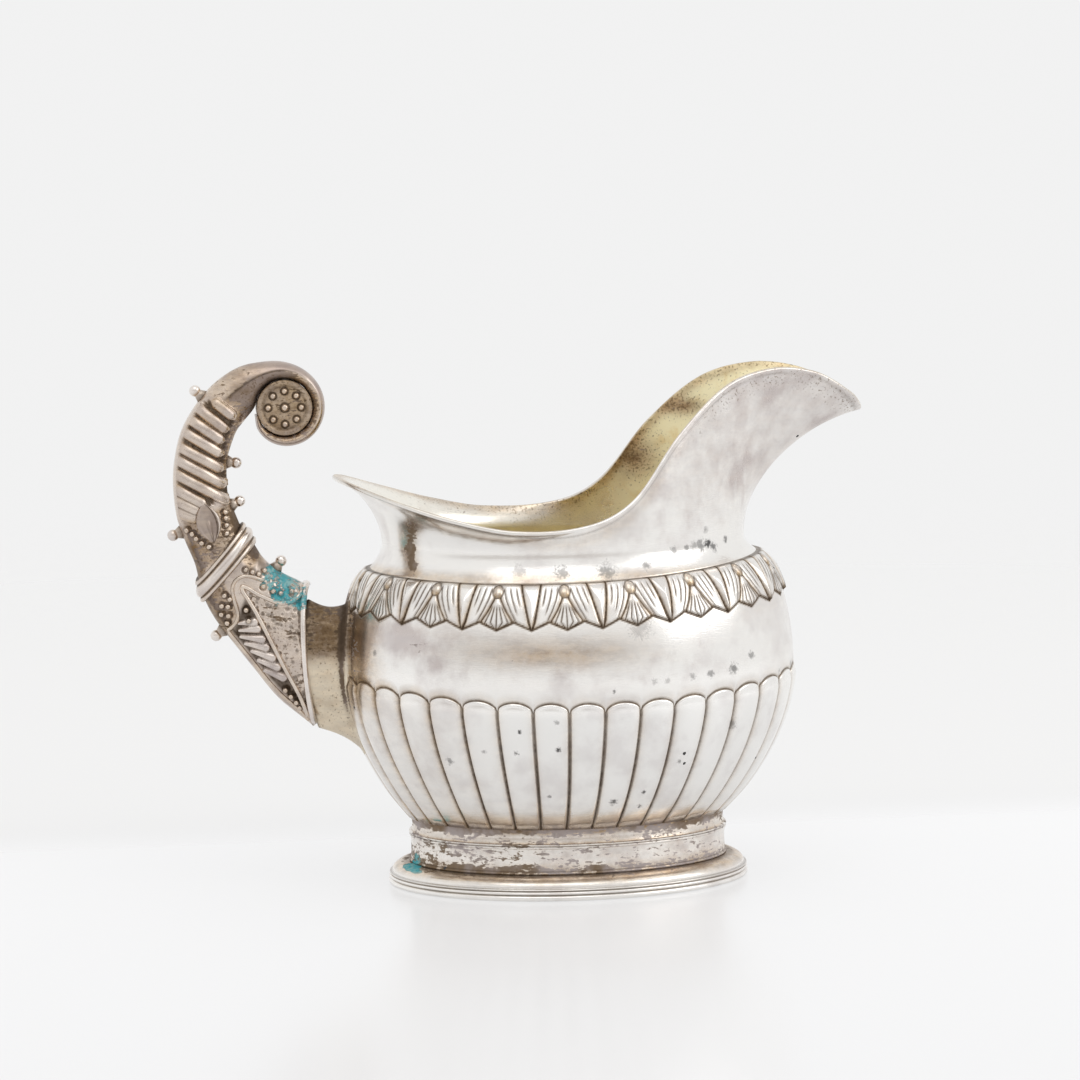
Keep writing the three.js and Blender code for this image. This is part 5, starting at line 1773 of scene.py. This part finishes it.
    def leaf(self, side: Side) -> Skin:
        """Rings across the pointed leaf on one side, with a raised midrib."""
        along = np.linspace(-1, 1, self.leaf_rows)
        back = np.linspace(1, -1, self.leaf_back_columns + 2)[1:-1]
        loop = np.concatenate([np.linspace(-1, 1, self.leaf_columns), back])
        top = np.concatenate([np.ones(self.leaf_columns), np.zeros(self.leaf_back_columns)])
        half = self.leaf_half_width * (1 - along**2) + self.leaf_tip
        c = loop[None, :] * np.ones((self.leaf_rows, 1))
        low = ease(along, 0.25, -0.1)[:, None]
        swell = self.leaf_body + self.leaf_swell * (1 - c**2)
        for place, width, tall in self.leaf_ridges:
            swell = swell + tall * ridge(c - place, width)
        width, tall = self.leaf_midrib
        swell = swell + tall * low * ridge(c, width)
        lines = 1.5 * ridge(c - 0.66, 0.06) + 0.5 * low * ridge(np.abs(c) - 0.18, 0.06)
        taper = np.sqrt(np.clip(1 - along**4, 0, 1))[:, None]
        y = np.where(top[None, :] > 0, self.leaf_height * swell * taper, self.leaf_back)
        x = c * half[:, None]
        z = along[:, None] * self.leaf_half_length * np.ones_like(c)
        tilt = math.radians(self.leaf_turn)
        seat = self.surface(np.array([self.leaf_section]), np.array([math.pi / 2]))[0]
        points = np.stack([
            seat[0] + x * math.cos(tilt) + z * math.sin(tilt),
            side.value * (seat[1] + y),
            seat[2] - x * math.sin(tilt) + z * math.cos(tilt),
        ], axis=-1)
        marks = {
            Mark.GROOVE: top * np.clip(0.15 * ease(c, 0.8, 0.66) + 0.5 * lines, 0, 1),
            Mark.HAZE: 0.6 * ease(c, 0.8, 0.66),
            Mark.BROWN: 0.12 + 0.2 * ease(c, 0.85, 0.65),
            Mark.CRUST: 0.15 * ease(c, 0.8, 0.6),
        }
        return points, marks

    def wire(self, path: Path2, side: Side, radius: float, green: float, brown: float) -> Skin:
        """Rings and marks of a wire that lies on the horn's side.

        Args:
            path: section number and place across of points along the wire.
            side: which side of the horn.
            radius: the wire's radius.
            green: its share of the green bloom.
            brown: how brown it is.

        Returns:
            The wire's skin.
        """
        keys = np.array(path)
        fine = spline(keys, np.linspace(0, len(keys) - 1, self.wire_steps * len(keys)))
        fine[:, 1] = np.clip(fine[:, 1], -0.99, 0.99)
        route = self.on_side(fine, side, self.wire_sink * radius)
        rings = tube(route, np.full(len(route), radius), self.wire_sides)
        return rings, self.trim_marks(rings, green, brown)

    def mouth_wire(self) -> Skin:
        """Rings and marks of the wire round the horn's mouth."""
        start = math.radians(self.mouth_wire_start)
        turn = np.linspace(start, 2 * math.pi - start, self.mouth_wire_rows)
        mouth = np.zeros_like(turn)
        route = self.surface(mouth, turn)
        route[:, 0] += self.mouth_wire_radius
        rings = []
        for angle in circle(self.mouth_wire_sides):
            ring = self.surface(mouth, turn, self.mouth_wire_radius * math.cos(angle))
            ring[:, 0] += self.mouth_wire_radius * (1 + math.sin(angle))
            rings.append(ring)
        rings = capped(np.array(rings).transpose(1, 0, 2), route[0], route[-1])
        return rings, self.trim_marks(rings, 0.7, 0.0)

    def socket(self) -> Skin:
        """Rings of the waisted plate between the horn's mouth and the bowl."""
        turn = circle(self.socket_columns)
        zero = np.zeros_like(turn)
        notch = np.clip(np.cos(turn), 0, 1) ** self.socket_notch_power
        near = self.surface(zero, turn, self.socket_inset * (notch - 1))
        near[:, 0] += self.socket_start
        near[:, 2] -= self.socket_drop * np.clip(-np.cos(turn), 0, 1) + self.socket_notch * notch
        low, high = self.socket_low, self.socket_high
        z = self.bowl.belly_z + (low + high) / 2 - (high - low) / 2 * np.cos(turn)
        y = np.sign(np.sin(turn)) * self.socket_half_width * np.abs(np.sin(turn)) ** self.fullness
        pi = np.full_like(turn, math.pi)
        length = self.bowl.half_length(z, pi) + self.socket_gap
        x = self.bowl.lean(z, pi) - length * np.sqrt(1 - (y / (length - self.bowl.narrower)) ** 2)
        far = np.stack([x, y, z], axis=-1)
        middle = np.array([0.0, 0.0, self.bowl.belly_z + (low + high) / 2])
        rings = [np.repeat(near.mean(axis=0)[None], len(turn), axis=0)]
        shares = np.linspace(0, 1, self.socket_rows)
        for share in shares:
            ring = near + (far - near) * share
            lip = ridge(share - self.socket_lip, 0.05)
            squeeze = 1 - self.socket_waist * math.sin(math.pi * share) + self.socket_ridge * lip
            centre = middle + np.array([ring[:, 0].mean(), 0, 0])
            rings.append(centre + (ring - centre) * np.array([1, squeeze, squeeze]))
        rings.append(far + np.array([self.socket_end, 0, 0]))
        rings = np.array(rings)
        share = np.concatenate([[0], shares, [1]])[:, None] * np.ones(len(turn))
        # The upper part is darker, partly tarnish and partly painted shade; the faint gold lower down is
        # partly painted light.
        tarnish_and_shade = ease(rings[:, :, 2], *self.socket_tarnish_and_shade)
        seam = ridge(share - 0.86, 0.075) * ease(rings[:, :, 2], *self.socket_seam)
        lip = ridge(share - self.socket_lip, 0.03)
        marks = {
            Mark.GILT: 0.35 * (1 - tarnish_and_shade),
            Mark.BROWN: np.clip(0.3 + 0.62 * tarnish_and_shade - 0.3 * lip, 0, 1),
            Mark.CRUST: np.clip(0.12 + 0.36 * tarnish_and_shade + 0.7 * seam - 0.2 * lip, 0, 1),
            Mark.SPECK: 0.1 + 0.1 * tarnish_and_shade,
            Mark.GROOVE: np.clip(0.56 * tarnish_and_shade + 0.5 * seam + 0.4 * ease(share, 0.08, 0.0), 0, 1),
        }
        return rings, marks

    def rosette_disc(self, side: Side) -> Skin:
        """Rings of the disc inside the scroll, from the middle of its face round its rim to its back."""
        turn = circle(self.rosette_columns)
        edge = self.rosette_radius + self.rosette_edge
        radius = np.concatenate([np.linspace(0, edge, self.rosette_rows), [edge, 0]])[:, None]
        radius = radius * np.ones(len(turn))
        x, z = radius * np.cos(turn), radius * np.sin(turn)
        away = np.hypot(x, z) / self.rosette_middle
        for centre in self.rosette_centres():
            away = np.minimum(away, np.hypot(x - centre[0], z - centre[2]))
        rim_place = edge - self.rosette_rim
        uneven = 1 + 0.2 * np.sin(5 * turn + 1) + 0.12 * np.sin(11 * turn)
        rim = ridge(radius - rim_place, self.rosette_rim_width) * uneven
        trench = ridge(radius - rim_place + self.rosette_trench, self.rosette_trench_width)
        dimple = ridge(away - 1.05 * self.rosette_pearl, self.rosette_dimple_width)
        y = self.rosette_depth + self.rosette_rim_height * rim
        y = y - self.rosette_trench_depth * trench - self.rosette_dimple_depth * dimple
        y[-2:] = 0
        points = self.scroll_middle() + np.stack([x, side.value * y, z], axis=-1)
        marks = {
            Mark.GROOVE: np.clip(0.27 + 0.3 * trench + 0.6 * dimple, 0, 1),
            Mark.HAZE: np.full_like(radius, 0.4),
            Mark.BROWN: np.clip(0.8 - 0.15 * rim, 0, 1),
            Mark.CRUST: np.clip(0.38 - 0.1 * rim, 0, 1),
            Mark.SPECK: np.full_like(radius, 0.2),
        }
        return points, marks

    def scroll_middle(self) -> Array:
        """The scroll's middle on the jug's middle plane."""
        return self.origin + np.array([self.scroll_x, 0, self.scroll_z])

    def rosette_centres(self) -> list[Array]:
        """Middles of the rosette's outer pearls, from the scroll's middle."""
        turns = circle(self.rosette_count) + math.pi / 2
        return [self.rosette_ring * np.array([math.cos(t), 0, math.sin(t)]) for t in turns]

    def rosette(self, side: Side, metal: bpy.types.Material) -> None:
        """Makes and dresses the pearled disc inside the scroll on one side."""
        bench = self.bench
        name = side.name.lower()
        bench.lay(f"rosette_disc_{name}", self.rosette_disc(side), metal, Slot.TARNISHED, f"rosette_{name}")
        depth = self.rosette_depth - self.rosette_sink
        middle = self.scroll_middle() + np.array([0, side.value * depth, 0])
        centres = middle + np.array([np.zeros(3), *self.rosette_centres()])
        radii = np.full(len(centres), self.rosette_pearl)
        radii[0] *= self.rosette_middle
        pearls = bench.balls(f"rosette_pearls_{name}", centres, radii, self.rosette_squash)
        bench.mark(pearls, self.rosette_pearl_marks)
        bench.hand_over(pearls, metal, Slot.TARNISHED)

    def rosette_pearl_marks(self, points: Array) -> Marks:
        """Tarnish round the feet of the rosette's pearls."""
        height = np.abs(points[:, 1]) - self.rosette_depth
        return {Mark.BROWN: 0.4 + 0.5 * ease(height, 0.7, 0), Mark.GROOVE: 0.8 * ease(height, 0.35, 0)}

    def bead(self, node: str, number: float, edge: int, metal: bpy.types.Material) -> None:
        """Makes and dresses one bead on its stem."""
        turn = 0.0 if edge > 0 else math.pi
        around = self.surface(np.array([number - 0.2, number, number + 0.2]), np.full(3, turn))
        along = around[2] - around[0]
        outward = np.array([-along[2], 0, along[0]]) / np.linalg.norm(along)
        across = self.surface(np.array([number]), np.array([math.pi - turn]))[0]
        if outward @ (around[1] - across) < 0:
            outward = -outward
        self.bench.start()
        rise = math.sqrt(self.bead_radius**2 - self.bead_stem_radius**2)
        centre = self.clearance + self.bead_stem_length + rise
        bpy.ops.mesh.primitive_uv_sphere_add(
            segments=self.bead_segments, ring_count=self.bead_rings, radius=self.bead_radius * MM,
            location=(0, 0, centre * MM))
        ball = bpy.context.object
        bpy.ops.mesh.primitive_cone_add(
            vertices=self.bead_segments,
            radius1=self.bead_stem_flare * MM,
            radius2=self.bead_stem_radius * MM,
            depth=(centre + self.bead_stem_overlap) * MM,
            location=(0, 0, (centre - self.bead_stem_sink) / 2 * MM),
        )
        ball.select_set(True)
        bpy.context.view_layer.objects.active = ball
        bpy.ops.object.join()
        ball.name = f"{node}_ball"
        turned = Vector(outward).to_track_quat("Z", "Y").to_matrix().to_4x4()
        place = self.bench.in_frame(around[1])
        bpy.ops.object.transform_apply(location=True, rotation=True, scale=True)
        ball.matrix_world = Matrix.Translation(place) @ turned
        bpy.ops.object.transform_apply(location=True, rotation=True, scale=True)
        bpy.ops.object.shade_smooth()

        def marks(points: Array) -> Marks:
            """Tarnish that thins out along the stem."""
            height = (points - around[1]) @ outward
            return {Mark.GROOVE: 0.8 * ease(height, 1.1, 0.5), Mark.BROWN: 0.55 * ease(height, 2.6, 1.0)}

        self.bench.mark(ball, marks)
        self.bench.hand_over(ball, metal, Slot.POLISHED, node)

    def build(self, tarnished: bpy.types.Material, rubbed: bpy.types.Material) -> None:
        """Makes and dresses the handle.

        Args:
            tarnished: material of the horn, its leaves and rosettes.
            rubbed: material of the strap, pearls, wires and beads, which are rubbed brighter.
        """
        bench = self.bench
        for side in Side:
            self.dress_side(side, tarnished, rubbed)
        bench.lay("ribbed_strap", self.strap(), rubbed, Slot.TARNISHED, "handle_strap")
        bench.lay("mouth_edge", self.mouth_wire(), rubbed, Slot.POLISHED, "horn_mouth_wire")
        bench.lay("socket_plate", self.socket(), tarnished, Slot.TARNISHED, "handle_socket")
        for node, number, edge in self.beads:
            self.bead(node, number, edge, rubbed)

    def dress_side(self, side: Side, tarnished: bpy.types.Material, rubbed: bpy.types.Material) -> None:
        """Makes and dresses the horn's half and its trim on one side."""
        bench = self.bench
        name = side.name.lower()
        rings, marks = self.half_skin()
        rings = rings * np.array([1, side.value, 1])
        marks[Mark.VERDIGRIS] = self.bloom(rings)
        bench.lay(f"horn_half_{name}", (rings, marks), tarnished, Slot.TARNISHED, f"handle_half_{name}")
        panel_edge = self.wire(self.panel_wire, side, self.wire_radius, 0.8, 0.35)
        bench.lay(f"panel_edge_{name}", panel_edge, rubbed, Slot.POLISHED, f"panel_wire_{name}")
        loop_edge = self.wire(self.loop_wire, side, self.loop_wire_radius, 1.0, 0.45)
        bench.lay(f"loop_edge_{name}", loop_edge, rubbed, Slot.TARNISHED)
        bench.lay(f"pointed_leaf_{name}", self.leaf(side), tarnished, Slot.TARNISHED, f"leaf_{name}")
        centres = self.on_side(self.pearls, side, self.pearl_lift)
        pearls = bench.balls(f"horn_pearls_{name}", centres, np.full(len(centres), self.pearl_radius), 1.0)
        bench.mark(pearls, lambda points: self.trim_marks(points, 0.6, 0.45))
        bench.hand_over(pearls, rubbed, Slot.TARNISHED)
        self.rosette(side, tarnished)


@dataclass
class Studio:
    """A pale table, soft light from all round and a long lens."""

    bench: Bench
    frame_pixels: float = 1080.0
    focal_pixels: float = 3945.4
    sensor: float = 36.0
    camera_place: tuple[float, float, float] = (-119.8, -890.3, 171.64)
    heading: float = -7.325
    pitch: float = 5.95
    roll: float = -0.984
    table: float = 30.0
    backdrop: float = 0.885
    sky: Colour = (1.0, 0.995, 0.985)
    front: Colour = (0.24, 0.18, 0.14)
    front_share: float = 0.45
    front_heading: float = -18.0
    # Heights over which the dark opening starts and ends, and how closely it keeps to its heading.
    front_rise: tuple[float, float] = (0.0, 0.15)
    front_fall: tuple[float, float] = (0.38, 0.2)
    front_edge: tuple[float, float] = (0.45, 0.95)
    # Soft lamps: name, place and size in metres, and power in watts.
    lamps: tuple[tuple[str, tuple[float, float, float], float, float], ...] = (
        ("right_lamp", (0.78, -0.45, 0.63), 0.7, 1.8),
        ("top_lamp", (-0.1, -0.5, 1.1), 0.8, 1.6),
    )
    aim: tuple[float, float, float] = (0, 0, 0.06)

    def camera(self) -> None:
        """Sets the camera where the photograph was taken."""
        heading, pitch, roll = (math.radians(a) for a in (self.heading, self.pitch, self.roll))
        right = Vector((math.cos(heading), math.sin(heading), 0))
        level = Vector((-math.sin(heading), math.cos(heading), 0))
        ahead = level * math.cos(pitch) - Vector((0, 0, math.sin(pitch)))
        up = right.cross(ahead)
        turned_right = right * math.cos(roll) + up * math.sin(roll)
        turned_up = up * math.cos(roll) - right * math.sin(roll)
        lens = bpy.data.cameras.new("studio_camera")
        lens.sensor_width = self.sensor
        lens.lens = self.sensor * self.focal_pixels / self.frame_pixels
        lens.clip_end = 100
        eye = bpy.data.objects.new("studio_camera", lens)
        bpy.context.collection.objects.link(eye)
        turned = Matrix((turned_right, turned_up, -ahead)).transposed().to_4x4()
        eye.matrix_world = Matrix.Translation(self.bench.in_frame(self.camera_place)) @ turned
        bpy.context.scene.camera = eye

    def floor(self) -> None:
        """Lays the table."""
        self.bench.start()
        bpy.ops.mesh.primitive_plane_add(size=self.table)
        table = bpy.context.object
        table.name = "table_top"
        table.data.materials.append(TableFinish().material())

    def sky_light(self) -> None:
        """A white tent with a dark opening where the camera stands, and a plain backdrop."""
        world = bpy.data.worlds.new("studio_tent")
        bpy.context.scene.world = world
        world.use_nodes = True
        shop = Recipe(world.node_tree)
        direction = Signal(shop, shop.node("ShaderNodeTexCoord", {}, {}).outputs["Generated"])
        parts = shop.node("ShaderNodeSeparateXYZ", {}, {0: direction})
        x, y, z = (Signal(shop, parts.outputs[axis]) for axis in "XYZ")
        tent = shop.blend(shop.seen(), self.sky, (self.backdrop,) * 3)
        heading = math.radians(self.front_heading)
        ahead = x * math.sin(heading) - y * math.cos(heading)
        rise, fall = self.front_rise, self.front_fall
        opening = z.step(*rise) * z.step(*fall) * ahead.step(*self.front_edge)
        colour = shop.blend(opening * self.front_share, tent, self.front)
        light = shop.node("ShaderNodeBackground", {}, {"Color": colour, "Strength": 1.0})
        output = shop.node("ShaderNodeOutputWorld", {}, {})
        world.node_tree.links.new(light.outputs[0], output.inputs["Surface"])

    def lamp(self, name: str, place: tuple[float, float, float], size: float, power: float) -> None:
        """Hangs a square soft lamp that points at the jug's middle."""
        light = bpy.data.lights.new(name, "AREA")
        light.energy = power
        light.size = size
        lamp = bpy.data.objects.new(name, light)
        bpy.context.collection.objects.link(lamp)
        aim = Vector(self.aim) - Vector(place)
        turned = aim.to_track_quat("-Z", "Y").to_matrix().to_4x4()
        lamp.matrix_world = Matrix.Translation(Vector(place)) @ turned

    def build(self) -> None:
        """Sets up the table, the lights and the camera."""
        self.camera()
        self.floor()
        self.sky_light()
        for lamp in self.lamps:
            self.lamp(*lamp)
        bpy.context.scene.view_settings.view_transform = "Standard"


def main() -> None:
    """Builds the studio and the jug."""
    logging.basicConfig(level=logging.INFO, format="%(name)s %(message)s")
    bench = Bench()
    Studio(bench).build()
    bowl = Bowl(bench)
    neck = Neck(bench, bowl)
    polished = SilverFinish("polished_silver_worn", spots=bowl.spots() + neck.spots()).material(bench)
    # The horn's finish is heavily clouded purple-grey: partly tarnish, partly a painted reflection of the
    # dark room on the ribs.
    tarnished = SilverFinish(
        "tarnished_silver_stamped", clean=(0.79, 0.71, 0.65), cloud=(0.44, 0.375, 0.36),
        brown=(0.3, 0.19, 0.095), tan=(0.6, 0.43, 0.25), crust_warm=(0.14, 0.085, 0.04),
        crust_cool=(0.3, 0.24, 0.215), clouding=0.75, roughness=0.2, pit_share=0.06, grit=0.35,
    ).material(bench)
    rubbed = SilverFinish(
        "rubbed_silver_trim", clean=(0.86, 0.8, 0.75), cloud=(0.6, 0.53, 0.5), clouding=0.6, roughness=0.17,
        pit_share=0.04, grit=0.2,
    ).material(bench)
    Foot(bench).build(polished)
    bowl.build(polished)
    neck.build(polished)
    HornHandle(bench, bowl).build(tarnished, rubbed)


if __name__ == "__main__":
    main()
